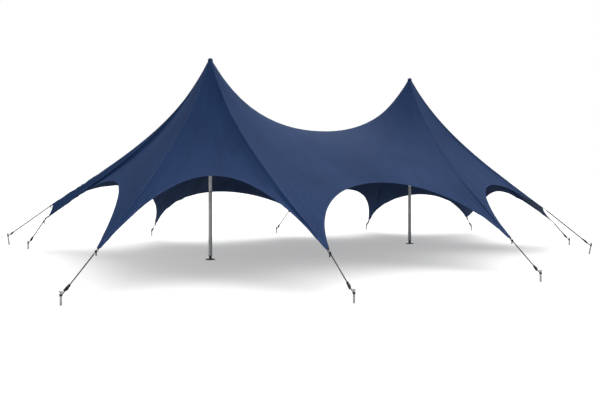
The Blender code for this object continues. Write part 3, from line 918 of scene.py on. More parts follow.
def tip_patch(index):
    """The doubled corner at one tip, a little shorter at its sides."""
    leg = LEGS[index]
    tip = np.array(leg.tip[:2])
    inward = unit(POLES[leg.pole] - tip)
    square = np.array((-inward[1], inward[0]))
    sides = {side: leg_half_width(index, tip, inward, square * side) for side in (1, -1)}
    middle = np.zeros((len(PATCH_DOWNS), len(PATCH_PLACES), 3))
    normals = np.zeros_like(middle)
    for a, down in enumerate(PATCH_DOWNS):
        for b, place in enumerate(PATCH_PLACES):
            reach = PATCH_LENGTH * (1 - PATCH_ROUNDING * place ** 2) * max(down, PATCH_DOWNS[1])
            half = float(np.interp(reach, *sides[1 if place >= 0 else -1]))
            inner = np.clip(place, -PATCH_INNER, PATCH_INNER)
            hit, normal = on_cloth(tip + inward * reach + square * half * inner, leg.tip[2])
            if abs(place) == 1:
                over = half * (1 - PATCH_INNER) + WRAP
                hit = hit + np.array((*(square * np.sign(place)), 0.0)) * over
            if down < 0:
                hit = hit - np.array((*inward, 0.0)) * END_WRAP
            middle[a, b], normals[a, b] = hit, normal
    shape = np.where(np.abs(PATCH_PLACES) == 1, 0.0, 1.0)
    height = shell_height(shape, PATCH_HEIGHT, len(PATCH_DOWNS))
    uv = uv_grid(PATCH_PLACES * PATCH_UV_WIDTH, ((1 - PATCH_DOWNS) * PATCH_LENGTH)[:, None])
    return cloth_shell("tip_patch_" + leg.name, middle, normals, height, uv)


trims += [tip_patch(index) for index in range(len(LEGS))]
print(len(LEGS), "tip patches")

# %% [markdown]
# The cone under each pole head has such a patch all round, because the cap's rim chafes
# there.

# %% Patches under the pole heads
CROWN_RADII = np.array((0.0575, 0.062, 0.09, 0.125, 0.158, 0.16))
CROWN_SHAPE = (0.0, 1.0, 1.0, 1.0, 1.0, 0.0)
CROWN_STEPS = 72


def crown_patch(side):
    """The doubled cone under a pole head. It goes all round, so its two end rows meet."""
    bearings = np.linspace(0, 2 * math.pi, CROWN_STEPS + 1)
    hits = [[on_cloth(POLES[side] + radius * np.array((math.cos(bearing), math.sin(bearing))))
             for radius in CROWN_RADII] for bearing in bearings]
    middle = np.array([[hit for hit, _ in line] for line in hits])
    normals = np.array([[normal for _, normal in line] for line in hits])
    height = np.tile(np.array(CROWN_SHAPE) * PATCH_HEIGHT, (len(bearings), 1))
    slope = run_lengths(middle[0])
    uv = uv_grid(bearings[:, None] * CROWN_RADII[-1], slope[-1] - slope)
    return cloth_shell("crown_patch_" + side, middle, normals, height, uv)


trims += [crown_patch(side) for side in POLES]
for piece in trims:
    add_to_tent(piece, "cloth")
print(len(trims), "trims in all,", sum(len(piece.data.polygons) for piece in trims), "faces")

# %% [markdown]
# The hard pieces are modelled as by hand: a primitive is added, opened in edit mode, and
# shaped by operators. Before a primitive is added everything is deselected, because an
# operator acts on all that is selected.

# %% Begin and close a piece
X, Y, Z = range(3)
SMOOTH_ANGLE = math.radians(35)


def begin(primitive, **settings):
    """Deselect everything, add a primitive and open it in edit mode."""
    bpy.ops.object.select_all(action="DESELECT")
    primitive(**settings)
    bpy.ops.object.transform_apply(location=True, rotation=True, scale=True)
    bpy.ops.object.mode_set(mode="EDIT")


def begin_block(size, centre):
    """A block of a given size, open in edit mode."""
    begin(bpy.ops.mesh.primitive_cube_add, size=1, scale=size, location=centre)


def begin_rod(radius, length, centre, axis=Z, sides=24):
    """A round rod along an axis, open in edit mode."""
    turn = {Y: (math.radians(90), 0, 0), Z: (0, 0, 0)}[axis]
    begin(bpy.ops.mesh.primitive_cylinder_add, vertices=sides, radius=radius, depth=length,
          location=centre, rotation=turn)


def begin_ring(radius, thickness, centre, segments, sides=8):
    """A round ring, open in edit mode. The thickness is that of its wire from its middle."""
    begin(bpy.ops.mesh.primitive_torus_add, major_radius=radius, minor_radius=thickness,
          major_segments=segments, minor_segments=sides, location=centre)


def close_piece(name, mat):
    """Leave edit mode, name the piece, give it its material and smooth it."""
    bpy.ops.object.mode_set(mode="OBJECT")
    piece = bpy.context.object
    piece.name = piece.data.name = name
    piece.data.materials.clear()
    piece.data.materials.append(mat)
    bpy.ops.object.shade_smooth_by_angle(angle=SMOOTH_ANGLE)
    return piece


# %% [markdown]
# Faces are picked by where they look or lie, and edges by where their two ends are, which
# stands in for clicking on them. Each test below is made once and used on many pieces.

# %% Pick faces and edges
NEAR = 0.2 * MM


def pick(kind, test):
    """Select the faces whose centre and normal pass a test, or the edges whose ends do."""
    bpy.ops.mesh.select_mode(type=kind)
    bpy.ops.mesh.select_all(action="DESELECT")
    mesh = bpy.context.object.data
    bm = bmesh.from_edit_mesh(mesh)
    if kind == "FACE":
        chosen = [face for face in bm.faces if test(face.calc_center_median(), face.normal)]
    else:
        chosen = [edge for edge in bm.edges if test(edge.verts[0].co, edge.verts[1].co)]
    for part in chosen:
        part.select_set(True)
    bmesh.update_edit_mesh(mesh)


def looking(axis, *signs):
    """A test for faces that look along an axis, one way or both ways."""
    return lambda centre, normal: any(normal[axis] * sign > 0.9 for sign in signs)


def top_at(height):
    """A test for the level face at a height."""
    return lambda centre, normal: normal.z > 0.9 and abs(centre.z - height) < NEAR


def circle(low, high=math.inf, height=None):
    """A test for level edges between two distances from Z, and at one height if it is given."""
    return lambda a, b: (abs(a.z - b.z) < 1e-6 and (height is None or abs(a.z - height) < NEAR)
                         and all(low < math.hypot(*end.xy) < high for end in (a, b)))


def rims(reach):
    """A test for edges at both ends of a rod along Y."""
    return lambda a, b: min(a.y, b.y) > reach or max(a.y, b.y) < -reach


def runs(axis, length):
    """A test for edges that run further than a length along an axis."""
    return lambda a, b: abs(a[axis] - b[axis]) > length


# %% [markdown]
# What is picked is then pulled out, moved or rounded. A hollow piece starts as a rod: its
# two end faces are inset by the wall and deleted, and the two inner rims are bridged.

# %% Shape what is picked
def pull_out(distance, grow=None):
    """Extrude what is selected along Z, and then scale it in X and Y."""
    bpy.ops.mesh.extrude_region_move(TRANSFORM_OT_translate={"value": (0, 0, distance)})
    if grow is not None:
        bpy.ops.transform.resize(value=(grow, grow, 1))


def raise_end(sign, height):
    """Move the face at one end of a block along Z."""
    pick("FACE", looking(X, sign))
    bpy.ops.transform.translate(value=(0, 0, height))


def round_edges(width, test, segments=2):
    """Bevel the edges whose two ends pass a test."""
    pick("EDGE", test)
    bpy.ops.mesh.bevel(offset=width, segments=segments, affect="EDGES")


def turn_outwards():
    """Recalculate all normals of the open piece, so that they point out."""
    bpy.ops.mesh.select_all(action="SELECT")
    bpy.ops.mesh.normals_make_consistent(inside=False)


def bore(radius, wall):
    """Make a tube of the open rod, and round its outer rims."""
    inner = radius - wall / 2
    pick("FACE", looking(Z, 1, -1))
    bpy.ops.mesh.inset(thickness=wall)
    bpy.ops.mesh.delete(type="FACE")
    pick("EDGE", circle(0, inner))
    bpy.ops.mesh.bridge_edge_loops()
    round_edges(1 * MM, circle(inner))
    turn_outwards()


# %% [markdown]
# What repeats is modelled once, at the origin or along X, and copied. Each copy has its own
# mesh, and the place is put in the mesh, so every object of the tent sits at the origin.

# %% Join and copy
def joined(name, pieces):
    """Join pieces into one object that keeps their materials."""
    make_active(pieces[0])
    for piece in pieces:
        piece.select_set(True)
    bpy.ops.object.join()
    pieces[0].name = pieces[0].data.name = name
    return pieces[0]


def placed_copy(model, name, matrix):
    """A copy of a model with its own mesh, whose place is in its mesh."""
    copy = model.copy()
    copy.data = model.data.copy()
    copy.name = copy.data.name = name
    copy.data.transform(matrix)
    bpy.context.collection.objects.link(copy)
    return copy


def copy_to_poles(model, name, slot, part=None):
    """Copy a model to both poles, for a part of the working model, and remove the model."""
    for side, at in POLES.items():
        copy = placed_copy(model, f"{name}_{side}", Matrix.Translation((*at, 0)))
        add_to_tent(copy, slot, *([f"pole_{side}_{part}"] if part else []))
    bpy.data.objects.remove(model, do_unlink=True)


def cad_sizes(node):
    """Radius, foot and top of a round part of the working model."""
    low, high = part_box(node)
    return (high.x - low.x) / 2, low.z, high.z


# %% [markdown]
# A pole stands on a round galvanised foot plate. A short neck carries a collar, and the
# lower tube stands on the collar and over a spigot. Four hexagon bolt heads hold the plate.
# The plate starts as a disc, and each later part is its top face, inset and pulled up.

# %% Pole feet
FOOT_RADIUS, _, _ = cad_sizes("pole_left_foot")
PLATE, NECK_RADIUS, SPIGOT_RADIUS, SPIGOT = 0.010, 0.034, 0.0402, 0.055
COLLAR_RADIUS, COLLAR_TOP, COLLAR = 0.047, 0.100, 0.010
BOLTS, BOLT_CIRCLE, BOLT_RADIUS, BOLT_HEAD = 4, 0.082, 0.0105, 0.007
WASHER_RADIUS, WASHER = 0.015, 0.002


def model_foot():
    """One foot, at the origin."""
    begin_rod(FOOT_RADIUS, PLATE, (0, 0, PLATE / 2), sides=64)
    pick("FACE", top_at(PLATE))
    bpy.ops.mesh.inset(thickness=FOOT_RADIUS - NECK_RADIUS)
    pull_out(COLLAR_TOP - COLLAR - PLATE)
    pull_out(0, COLLAR_RADIUS / NECK_RADIUS)
    pull_out(COLLAR)
    bpy.ops.mesh.inset(thickness=COLLAR_RADIUS - SPIGOT_RADIUS)
    pull_out(SPIGOT)
    pull_out(5 * MM, 0.9)
    outer = [circle(radius - 0.5 * MM, radius + 0.5 * MM, height) for radius, height in
             ((FOOT_RADIUS, PLATE), (COLLAR_RADIUS, COLLAR_TOP),
              (COLLAR_RADIUS, COLLAR_TOP - COLLAR))]
    round_edges(1.5 * MM, lambda a, b: any(test(a, b) for test in outer))
    parts = [close_piece("foot", foot_zinc)]
    for k in range(BOLTS):
        bearing = math.radians(45 + 360 * k / BOLTS)
        centre = Vector((math.cos(bearing), math.sin(bearing), 0)) * BOLT_CIRCLE
        begin_rod(WASHER_RADIUS, WASHER, centre + Vector((0, 0, PLATE + WASHER / 2)))
        parts.append(close_piece("washer", foot_zinc))
        head_foot = PLATE + WASHER
        begin_rod(BOLT_RADIUS, BOLT_HEAD, centre + Vector((0, 0, head_foot + BOLT_HEAD / 2)),
                  sides=6)
        pick("FACE", top_at(head_foot + BOLT_HEAD))
        bpy.ops.mesh.bevel(offset=1.2 * MM, segments=2, affect="EDGES")
        parts.append(close_piece("bolt_head", foot_zinc))
    begin_ring(NECK_RADIUS, 4 * MM, (0, 0, PLATE), 48)
    parts.append(close_piece("weld", foot_zinc))
    return joined("foot_model", parts)


copy_to_poles(model_foot(), "foot_plate", "steel", "foot")
print("two feet,", round(2 * FOOT_RADIUS, 3), "m across, with", BOLTS,
      "bolt heads each and a weld")

# %% [markdown]
# The poles are telescoped tubes, open at both ends. A nylon bush sits on top of the lower
# tube, where the thinner tube comes out of it. It starts as a rod, and its top face is
# inset and pushed down nearly to the bottom.

# %% Pole tubes
TUBE_WALL = 4 * MM
BUSH_HEIGHT = 16 * MM
BUSH_LIP = 1.5 * MM
LOWER_RADIUS, LOWER_LOW, LOWER_HIGH = cad_sizes("pole_left_lower_tube")
UPPER_RADIUS, UPPER_LOW, _ = cad_sizes("pole_left_upper_tube")


def tube(name, radius, low, high):
    """An open tube with rounded rims."""
    begin_rod(radius, high - low, (0, 0, (low + high) / 2), sides=64)
    bore(radius, TUBE_WALL)
    return close_piece(name, pole_aluminium)


def nylon_bush(radius, hole, low, high):
    """The ring between the two tubes: a tube with a thick rounded lip."""
    begin_rod(radius, high - low, (0, 0, (low + high) / 2), sides=64)
    pick("FACE", top_at(high))
    bpy.ops.mesh.inset(thickness=radius - hole)
    pull_out(-(high - low) * 0.9)
    round_edges(3 * MM, circle(0, height=high), 3)
    return close_piece("bush_model", bush_nylon)


lower_model = tube("lower_model", LOWER_RADIUS, LOWER_LOW, LOWER_HIGH)
copy_to_poles(lower_model, "lower_tube", "aluminium", "lower_tube")
upper_model = tube("upper_model", UPPER_RADIUS, UPPER_LOW, UPPER_TOP)
copy_to_poles(upper_model, "upper_tube", "aluminium", "upper_tube")
bush_model = nylon_bush(LOWER_RADIUS + BUSH_LIP, UPPER_RADIUS + 0.3 * MM, LOWER_HIGH,
                        LOWER_HIGH + BUSH_HEIGHT)
copy_to_poles(bush_model, "bush", "cap")
print("lower tubes to", round(LOWER_HIGH, 3), "m, upper tubes to", round(UPPER_TOP, 3), "m")

# %% [markdown]
# A moulded rubber cap closes each pole head and holds the cloth's ring down. It starts
# as the rim, a low disc, and its top face is pulled up and drawn in by steps to a dome.

# %% Pole caps
CAP_RADIUS, CAP_RIM, SOCKET_DEPTH = 0.062, 0.022, 0.05
CAP_LOW = UPPER_TOP + 0.3 * MM
_, _, CAP_TOP = cad_sizes("pole_left_cap")


def model_cap():
    """One cap, at the origin."""
    dome = CAP_TOP - CAP_LOW - CAP_RIM
    begin_rod(CAP_RADIUS, CAP_RIM, (0, 0, CAP_LOW + CAP_RIM / 2), sides=48)
    pick("FACE", top_at(CAP_LOW + CAP_RIM))
    angles = np.radians(np.arange(0, 91, 15))
    for before, after in zip(angles, angles[1:-1]):
        pull_out(dome * (math.sin(after) - math.sin(before)), math.cos(after) / math.cos(before))
    pull_out(dome * (1 - math.sin(angles[-2])), 0.35)
    pick("FACE", looking(Z, -1))
    bpy.ops.mesh.inset(thickness=CAP_RADIUS - SPIGOT_RADIUS + TUBE_WALL + 0.5 * MM)
    pull_out(-SOCKET_DEPTH)
    round_edges(3 * MM, circle(0.06, height=CAP_LOW))
    return close_piece("cap_model", cap_rubber)


copy_to_poles(model_cap(), "cap", "cap", "cap")
print("two caps, tops at", round(CAP_TOP, 3), "m")

# %% [markdown]
# A stake is a round steel rod with a flat head, driven in with a sledge. The head is the
# rod's top face, widened and pulled up, and the hammer has left it slightly domed. Two of
# the stakes stand taller and lean, so the top of each copy is moved to its own height.

# %% Stakes
STAKE_RADIUS, STAKE_HEAD_RADIUS, STAKE_HEAD, STAKE_DOME = 0.020, 0.035, 0.014, 0.0015
STAKE_MODEL_HEIGHT = 0.22


def model_stake():
    """One upright stake, at the origin."""
    neck = STAKE_MODEL_HEIGHT - STAKE_HEAD
    begin_rod(STAKE_RADIUS, neck, (0, 0, neck / 2), sides=32)
    pick("FACE", top_at(neck))
    pull_out(0, STAKE_HEAD_RADIUS / STAKE_RADIUS)
    pull_out(STAKE_HEAD - STAKE_DOME)
    bpy.ops.mesh.inset(thickness=0.012)
    pull_out(STAKE_DOME, 0.8)
    round_edges(2.5 * MM, circle(STAKE_HEAD_RADIUS - 1 * MM), 3)
    rod = close_piece("rod", stake_zinc)
    begin_ring(STAKE_RADIUS, 3 * MM, (0, 0, neck), 32)
    return joined("stake_model", [rod, close_piece("weld", stake_zinc)])


def away_from_pole(leg):
    """The direction on the ground from a leg's pole to its stake."""
    return unit(np.array(leg.stake) - POLES[leg.pole])


stake_model = model_stake()
for leg in LEGS:
    stake = placed_copy(stake_model, "ground_stake_" + leg.name, Matrix.Identity(4))
    lean = away_from_pole(leg) * leg.lean * leg.height
    lift = Vector((*lean, leg.height - STAKE_MODEL_HEIGHT))
    for vert in stake.data.vertices:
        if vert.co.z > STAKE_MODEL_HEIGHT / 2:
            vert.co += lift
    stake.data.transform(Matrix.Translation((*leg.stake, 0)))
    add_to_tent(stake, "steel", "stake_" + leg.name)
bpy.data.objects.remove(stake_model, do_unlink=True)
print(len(LEGS), "stakes, the tallest", max(leg.height for leg in LEGS), "m above ground")

# %% [markdown]
# Each guy has a webbing tab sewn to the tip, a ring and a black buckle with the loose end
# of the strap hanging from it, the strap, a ratchet, and a loop round the stake. The parts
# that repeat are modelled once, lying along X from the tip towards the stake, and copied.
# Webbing gets a UV map in metres first, so that its weave keeps its size on each copy.

# %% Webbing at the tip
STRAP_WIDTH, STRAP_THICK, STRAP_ROUNDING = 0.026, 3.5 * MM, 1.2 * MM
TAB_START, TAB_END, TAB_THICK, TAB_NARROWING = -0.012, 0.030, 4.5 * MM, 0.45
TAB_FOLD_RADIUS, TAB_FOLD_WIDTH = 7.5 * MM, 0.034
BUCKLE_PIN, ROLL_RADIUS = 0.074, 8 * MM
TAIL_THICK, TAIL_START, TAIL_BEND, TAIL_DROP = 2.5 * MM, 0.012, 0.014, 0.045


def webbing_piece(name, place=lambda co: (co.x, co.y)):
    """Close a webbing piece with a UV map: U runs along the strap, V across from its middle."""
    piece = close_piece(name, webbing)
    layer = piece.data.uv_layers.new(name="cloth")
    for loop in piece.data.loops:
        layer.data[loop.index].uv = place(piece.data.vertices[loop.vertex_index].co)
    for other in [uv for uv in piece.data.uv_layers if uv.name != "cloth"]:
        piece.data.uv_layers.remove(other)
    return piece


def webbing_fold(name, radius, width, x):
    """The round turn of a strap about a pin or ring."""
    begin_rod(radius, width, (x, 0, 0), Y, 20)
    round_edges(1.5 * MM, rims(width / 2 - 1 * MM))
    return webbing_piece(name)


def model_tab():
    """The webbing tab that narrows from the tip to the ring and folds round it."""
    begin_block((TAB_END - TAB_START, 2 * TIP_HALF_WIDTH - 6 * MM, TAB_THICK),
                ((TAB_END + TAB_START) / 2, 0, 0))
    pick("FACE", looking(X, 1))
    bpy.ops.transform.resize(value=(1, TAB_NARROWING, 1))
    round_edges(STRAP_ROUNDING, runs(X, 0.02))
    tab = webbing_piece("tab")
    fold = webbing_fold("fold", TAB_FOLD_RADIUS, TAB_FOLD_WIDTH, TAB_END)
    return joined("tab_model", [tab, fold])


def model_tail():
    """The loose end of the strap: it leaves the buckle level and then hangs straight down."""
    begin_block((TAIL_START, STRAP_WIDTH, TAIL_THICK), (-TAIL_START / 2, 0, 0))
    pick("FACE", looking(X, 1))
    bpy.ops.mesh.spin(steps=6, angle=math.radians(90), center=(0, 0, -TAIL_BEND), axis=(0, 1, 0))
    pull_out(-TAIL_DROP)
    turn_outwards()
    return webbing_piece("tail_model", lambda co: (co.x - co.z, co.y))


tab_model = model_tab()
roll_model = webbing_fold("roll_model", ROLL_RADIUS, STRAP_WIDTH, BUCKLE_PIN)
tail_model = model_tail()
print("tab, roll and tail modelled for a strap of", STRAP_WIDTH / MM, "mm")

# %% [markdown]
# The tab holds a ring, and the ring holds the buckle. Its frame is a block with rounded
# corners and a hollow on both faces. A lever lies on it, raised at its free end, and the
# strap turns about a pin through it.

# %% The ring and the buckle
BUCKLE_RING, RING_WIRE, RING_PLACE, RING_OVAL = 0.022, 5 * MM, 0.052, (0.9, 1.15, 1)
FRAME_SIZE, FRAME_PLACE = (0.040, 0.052, 0.016), (0.087, 0, 0)
FRAME_CORNER, FRAME_RIM, FRAME_HOLLOW = 8 * MM, 6 * MM, -2.5 * MM
LEVER_SIZE, LEVER_PLACE, LEVER_RISE = (0.026, 0.030, 5 * MM), (0.089, 0, 0.0085), 3 * MM
PIN_RADIUS, PIN_LENGTH = 4 * MM, 0.056


def model_buckle():
    """The ring, and the buckle that the strap is threaded through."""
    begin_ring(BUCKLE_RING, RING_WIRE, (RING_PLACE, 0, 0), 36, 12)
    bpy.ops.transform.resize(value=RING_OVAL)
    parts = [close_piece("ring", ratchet_black)]
    begin_block(FRAME_SIZE, FRAME_PLACE)
    round_edges(FRAME_CORNER, runs(Z, 5 * MM), 4)
    round_edges(2 * MM, lambda a, b: abs(a.z - b.z) < 1e-6 and abs(a.z) > 7 * MM)
    pick("FACE", looking(Z, 1, -1))
    bpy.ops.mesh.inset(thickness=FRAME_RIM, depth=FRAME_HOLLOW)
    parts.append(close_piece("frame", ratchet_black))
    begin_block(LEVER_SIZE, LEVER_PLACE)
    raise_end(1, LEVER_RISE)
    round_edges(1.5 * MM, lambda a, b: True)
    parts.append(close_piece("lever", ratchet_black))
    begin_rod(PIN_RADIUS, PIN_LENGTH, (BUCKLE_PIN, 0, 0), Y, 16)
    parts.append(close_piece("pin", ratchet_black))
    return joined("buckle_model", parts)


buckle_model = model_buckle()
print("buckle:", len(buckle_model.data.polygons), "faces")

# %% [markdown]
# A ratchet winds the strap tight. Two side plates carry a slotted spool with a toothed
# wheel beside each plate, and the handle that turns it lies folded on top. A toothed wheel
# starts as a rod with 32 sides: every other side face is picked and pulled outwards.

# %% The ratchet
RATCHET_LENGTH, SPOOL, FIRST_BAR = 0.160, 0.088, 0.012
SIDE_PLATE, SIDE_PLATE_AT = (0.128, 2.5 * MM, 0.026), Vector((0.070, 0.0175, 0))
WHEEL_RADIUS, WHEEL_THICK, WHEEL_AT = 0.0165, 3 * MM, Vector((SPOOL, 0.0215, 0))
TEETH_SIDES, TOOTH = 32, 3 * MM
HANDLE_ARM, HANDLE_ARM_AT = (0.092, 2.5 * MM, 0.014), Vector((0.102, 0.0205, 0.016))
HANDLE_DROP = -6 * MM
PAWL_PLATE, PAWL_PLATE_AT = (0.036, 0.036, 3 * MM), (0.114, 0, 0.0205)
# radius, length, and place along X and Z of the first bar, the spool and the handle's grip
BARS = ((5 * MM, 0.044, FIRST_BAR, 0, 16), (9 * MM, 0.048, SPOOL, 0, 20),
        (7.5 * MM, 0.046, 0.146, 0.016, 20))


def every_other_side(centre, normal):
    """A test for every other side face of a wheel about Y."""
    turn = math.degrees(math.atan2(normal.x, normal.z)) / (360 / TEETH_SIDES)
    return abs(normal.y) < 0.1 and int(turn + TEETH_SIDES + 0.5) % 2 == 0


def model_ratchet():
    """One ratchet from X = 0 to its length, without its webbing."""
    parts = []
    for side in (Vector((1, -1, 1)), Vector((1, 1, 1))):
        begin_block(SIDE_PLATE, SIDE_PLATE_AT * side)
        round_edges(9 * MM, runs(Y, 1 * MM), 4)
        parts.append(close_piece("side_plate", ratchet_black))
        begin_rod(WHEEL_RADIUS, WHEEL_THICK, WHEEL_AT * side, Y, TEETH_SIDES)
        pick("FACE", every_other_side)
        bpy.ops.mesh.extrude_region_shrink_fatten(TRANSFORM_OT_shrink_fatten={"value": TOOTH})
        parts.append(close_piece("toothed_wheel", ratchet_black))
        begin_block(HANDLE_ARM, HANDLE_ARM_AT * side)
        raise_end(-1, HANDLE_DROP)
        round_edges(4 * MM, runs(Y, 1 * MM), 3)
        parts.append(close_piece("handle_arm", ratchet_black))
    for radius, length, x, z, sides in BARS:
        begin_rod(radius, length, (x, 0, z), Y, sides)
        round_edges(1.5 * MM, rims(0.02))
        parts.append(close_piece("cross_rod", ratchet_black))
    begin_block(PAWL_PLATE, PAWL_PLATE_AT)
    round_edges(1 * MM, lambda a, b: True)
    parts.append(close_piece("pawl_plate", ratchet_black))
    return joined("ratchet_model", parts)


ratchet_model = model_ratchet()
print("ratchet:", len(ratchet_model.data.polygons), "faces")

# %% [markdown]
# Webbing fills the ratchet: several turns lie on the spool, the long strap comes in from
# one end, and the short one is folded round the first bar. Their ends are raised or
# lowered so that they meet the turns from above and from below.

# %% The webbing in the ratchet
WINDING_RADIUS, END_FOLD_RADIUS = 0.0155, 8.5 * MM
# start and end along X, and the height of both ends
STRAP_ENDS = ((-0.002, SPOOL, 0, 0.006), (SPOOL, RATCHET_LENGTH + 2 * MM, -0.004, 0))


def model_winding():
    """The webbing inside the ratchet: the turns on its spool, and both straps' ends."""
    begin_rod(WINDING_RADIUS, STRAP_WIDTH + 3 * MM, (SPOOL, 0, 0), Y, 28)
    pick("FACE", looking(Y, 1, -1))
    bpy.ops.mesh.inset(thickness=3 * MM, depth=-1 * MM)
    turns = webbing_piece("turns", lambda co: (WINDING_RADIUS * math.atan2(co.z, co.x - SPOOL),
                                               co.y))
    parts = [turns, webbing_fold("end_fold", END_FOLD_RADIUS, STRAP_WIDTH, FIRST_BAR)]
    for low, high, low_height, high_height in STRAP_ENDS:
        begin_block((high - low, STRAP_WIDTH, STRAP_THICK), ((low + high) / 2, 0, 0))
        raise_end(-1, low_height)
        raise_end(1, high_height)
        parts.append(webbing_piece("strap_end"))
    return joined("winding_model", parts)


winding_model = model_winding()
print("webbing in the ratchet:", len(winding_model.data.polygons), "faces")

# %% [markdown]
# The strap itself is modelled one metre long, and each copy is stretched to its own
# length together with its UV map. A loop round an upright stake holds the strap on edge,
# and the buckle holds it flat, so behind the buckle it turns by a quarter: Simple Deform
# twists that part.

# %% The strap, its turn and the loop
TURN_START, TURN_LENGTH, NECK_LENGTH = 0.076, 0.090, 0.075
LOOP_HEIGHT, LOOP_WALL, LOOP_DROP = 0.030, 0.005, 0.065
LOOP_RADIUS = STAKE_RADIUS + 0.3 * MM + LOOP_WALL


def model_strap():
    """One metre of strap with rounded edges."""
    begin_block((1.0, STRAP_WIDTH, STRAP_THICK), (0.5, 0, 0))
    round_edges(STRAP_ROUNDING, runs(X, 0.5))
    return webbing_piece("strap_model")


def model_turn():
    """The twisted strap behind the buckle."""
    begin_block((TURN_LENGTH, STRAP_WIDTH, STRAP_THICK), (TURN_LENGTH / 2, 0, 0))
    pick("EDGE", runs(X, 0.05))
    bpy.ops.mesh.subdivide(number_cuts=15)
    turn = webbing_piece("turn_model")
    twist = turn.modifiers.new("quarter_turn", "SIMPLE_DEFORM")
    twist.deform_method = "TWIST"
    twist.deform_axis = "X"
    twist.angle = math.radians(90)
    apply_modifiers(turn)
    return turn


def model_loop():
    """The webbing band that lies round the stake, at the origin."""
    begin_rod(LOOP_RADIUS, LOOP_HEIGHT, (0, 0, 0), sides=32)
    bore(LOOP_RADIUS, LOOP_WALL)
    return webbing_piece("loop_model", lambda co: (LOOP_RADIUS * math.atan2(co.y, co.x), co.z))


strap_model, turn_model, loop_model = model_strap(), model_turn(), model_loop()
for end in (0, TURN_LENGTH):
    ring = [vert.co for vert in turn_model.data.vertices if abs(vert.co.x - end) < 1 * MM]
    print("turn at", end, "m: half width and height in mm:",
          [round(max(co[axis] for co in ring) / MM, 1) for axis in (Y, Z)])

# %% [markdown]
# A guy runs in a straight line from the tip to the loop. Its own axes are that line, the
# level line across it, and the line square to both. A matrix made of them carries each
# model to its place, turned on edge behind the buckle. The last part follows the stake
# with its width, and the pieces of webbing are joined to one.

# %% Copy the guys to the eleven legs
LOOP_CLEARANCE = 1.8 * MM
TAIL_PLACE = (0.109, -6 * MM)


def frame_matrix(way, side, up, at):
    """A matrix that turns X, Y and Z to three directions and moves the origin to a place."""
    return Matrix(np.vstack((np.column_stack((way, side, up, at)), (0, 0, 0, 1))).tolist())


def stretched(model, name, matrix, length):
    """A placed copy of the one-metre strap with another length, and its weave unstretched."""
    copy = placed_copy(model, name, matrix @ Matrix.Diagonal((length, 1, 1, 1)))
    for corner in copy.data.uv_layers["cloth"].data:
        corner.uv.x *= length
    return copy


def place_guy(leg):
    """All of one leg's guy. Returns its length."""
    tip = np.array(leg.tip)
    lean = away_from_pole(leg) * leg.lean
    loop_height = leg.height - LOOP_DROP
    axis = np.array(leg.stake) + lean * loop_height
    back = unit(tip[:2] - axis)
    loop_end = np.array((*(axis + back * (STAKE_RADIUS + LOOP_CLEARANCE)), loop_height))
    length = float(np.linalg.norm(loop_end - tip))
    way = unit(loop_end - tip)
    side = unit(np.cross((0, 0, 1), way))
    up = np.cross(way, side)
    level = unit(np.array((*way[:2], 0.0)))
    stake_up = (*lean, 1.0)
    ratchet_start = length - NECK_LENGTH - RATCHET_LENGTH
    turn_end = TURN_START + TURN_LENGTH
    flat = frame_matrix(way, side, up, tip)
    on_edge = frame_matrix(way, up, -side, tip + way * ratchet_start)
    strap_place = frame_matrix(way, up, -side, tip + way * turn_end)
    neck_place = frame_matrix(way, stake_up, -side, tip + way * (length - NECK_LENGTH))
    tail_place = frame_matrix(level, side, (0, 0, 1),
                              tip + way * TAIL_PLACE[0] + up * TAIL_PLACE[1])
    loop_place = frame_matrix((1, 0, 0), (0, 1, 0), stake_up, (*axis, loop_height))
    straps = [placed_copy(tab_model, "tab", flat),
              placed_copy(roll_model, "roll", flat),
              placed_copy(tail_model, "tail", tail_place),
              placed_copy(turn_model, "turn", flat @ Matrix.Translation((TURN_START, 0, 0))),
              stretched(strap_model, "strap", strap_place, ratchet_start - turn_end),
              placed_copy(winding_model, "winding", on_edge),
              stretched(strap_model, "neck", neck_place, NECK_LENGTH),
              placed_copy(loop_model, "loop", loop_place)]
    add_to_tent(joined("guy_webbing_" + leg.name, straps), "webbing", "guy_" + leg.name)
    add_to_tent(placed_copy(buckle_model, "guy_buckle_" + leg.name, flat), "steel")
    add_to_tent(placed_copy(ratchet_model, "guy_ratchet_" + leg.name, on_edge), "steel")
    return length


lengths = {leg.name: round(place_guy(leg), 3) for leg in LEGS}
for model in (tab_model, roll_model, tail_model, buckle_model, ratchet_model, winding_model,
              strap_model, turn_model, loop_model):
    bpy.data.objects.remove(model, do_unlink=True)
print("guys from tip to loop, in metres:", lengths)

# %% [markdown]
# The floor is a wide pale sweep. It glows for the camera alone, so that it is white in the
# picture, as a floor in a bright studio is, and throws no light of its own on the tent.

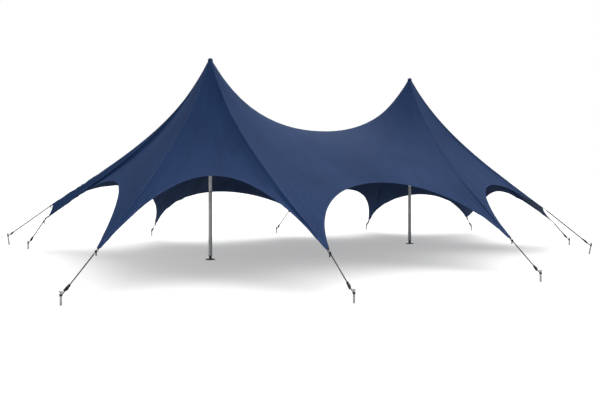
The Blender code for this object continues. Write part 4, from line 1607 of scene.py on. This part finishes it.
# %% Floor
FLOOR_GLOW = 0.40
FLOOR_SIZE = 160
bpy.ops.object.select_all(action="DESELECT")
bpy.ops.mesh.primitive_plane_add(size=FLOOR_SIZE)
floor = bpy.context.object
floor.name = "studio_floor"
floor_mat, tree, shader = new_material("painted_studio_floor", Roughness=0.9,
                                       Base_Color=linear("C0C0C0"),
                                       Emission_Color=linear("FFFFFF"))
seen = add_node(tree, "LightPath").outputs["Is Camera Ray"]
glow = add_node(tree, "Math", {0: seen, 1: FLOOR_GLOW}, operation="MULTIPLY")
tree.links.new(glow.outputs["Value"], shader.inputs["Emission Strength"])
floor.data.materials.append(floor_mat)
print("floor", FLOOR_SIZE, "m wide")

# %% [markdown]
# The light comes from a soft dome with four wide bright patches, like large soft boxes: one
# high above and a little behind the tent, one high on the right, which lights the right
# side of each ridge, a weak one on the left, and a low weak one in front on the left, which
# shows the poles. A wide patch gives the floor a soft shadow. The camera itself sees plain
# white behind the tent.

# %% Light
DOME_STRENGTH = 0.28
# direction, sharpness and strength of each patch
GLOWS = (
    ((0.213, 0.365, 0.906), 10.0, 4.8),
    ((-0.806, 0.146, 0.574), 14.0, 0.8),
    ((0.611, -0.356, 0.707), 10.0, 3.8),
    ((-0.964, -0.166, 0.208), 8.0, 1.0),
)


def sky_glow(tree, direction, towards, sharpness, amount):
    """A soft bright patch of the dome, as a strength."""
    facing = add_node(tree, "VectorMath", {0: direction, 1: Vector(towards).normalized()},
                      operation="DOT_PRODUCT")
    front = add_node(tree, "Math", {0: facing, 1: 0.0}, operation="MAXIMUM")
    soft = add_node(tree, "Math", {0: front, 1: sharpness}, operation="POWER")
    return add_node(tree, "Math", {0: soft, 1: amount}, operation="MULTIPLY")


world = bpy.data.worlds.new("studio")
bpy.context.scene.world = world
world.use_nodes = True
tree = world.node_tree
tree.nodes.clear()
way = add_node(tree, "TexCoord").outputs["Generated"]
strength = add_node(tree, "Value")
strength.outputs[0].default_value = DOME_STRENGTH
for towards, sharpness, amount in GLOWS:
    glow = sky_glow(tree, way, towards, sharpness, amount)
    strength = add_node(tree, "Math", {0: strength, 1: glow}, operation="ADD")
path = add_node(tree, "LightPath")
seen = add_node(tree, "Background", {"Color": linear("FFFFFF"), "Strength": 1.0})
dome = add_node(tree, "Background", {"Color": linear("FFFFFF"), "Strength": strength})
mixed = add_node(tree, "MixShader", {"Fac": path.outputs["Is Camera Ray"], 1: dome, 2: seen})
add_node(tree, "OutputWorld", {"Surface": mixed})
bpy.context.scene.view_settings.view_transform = "Standard"
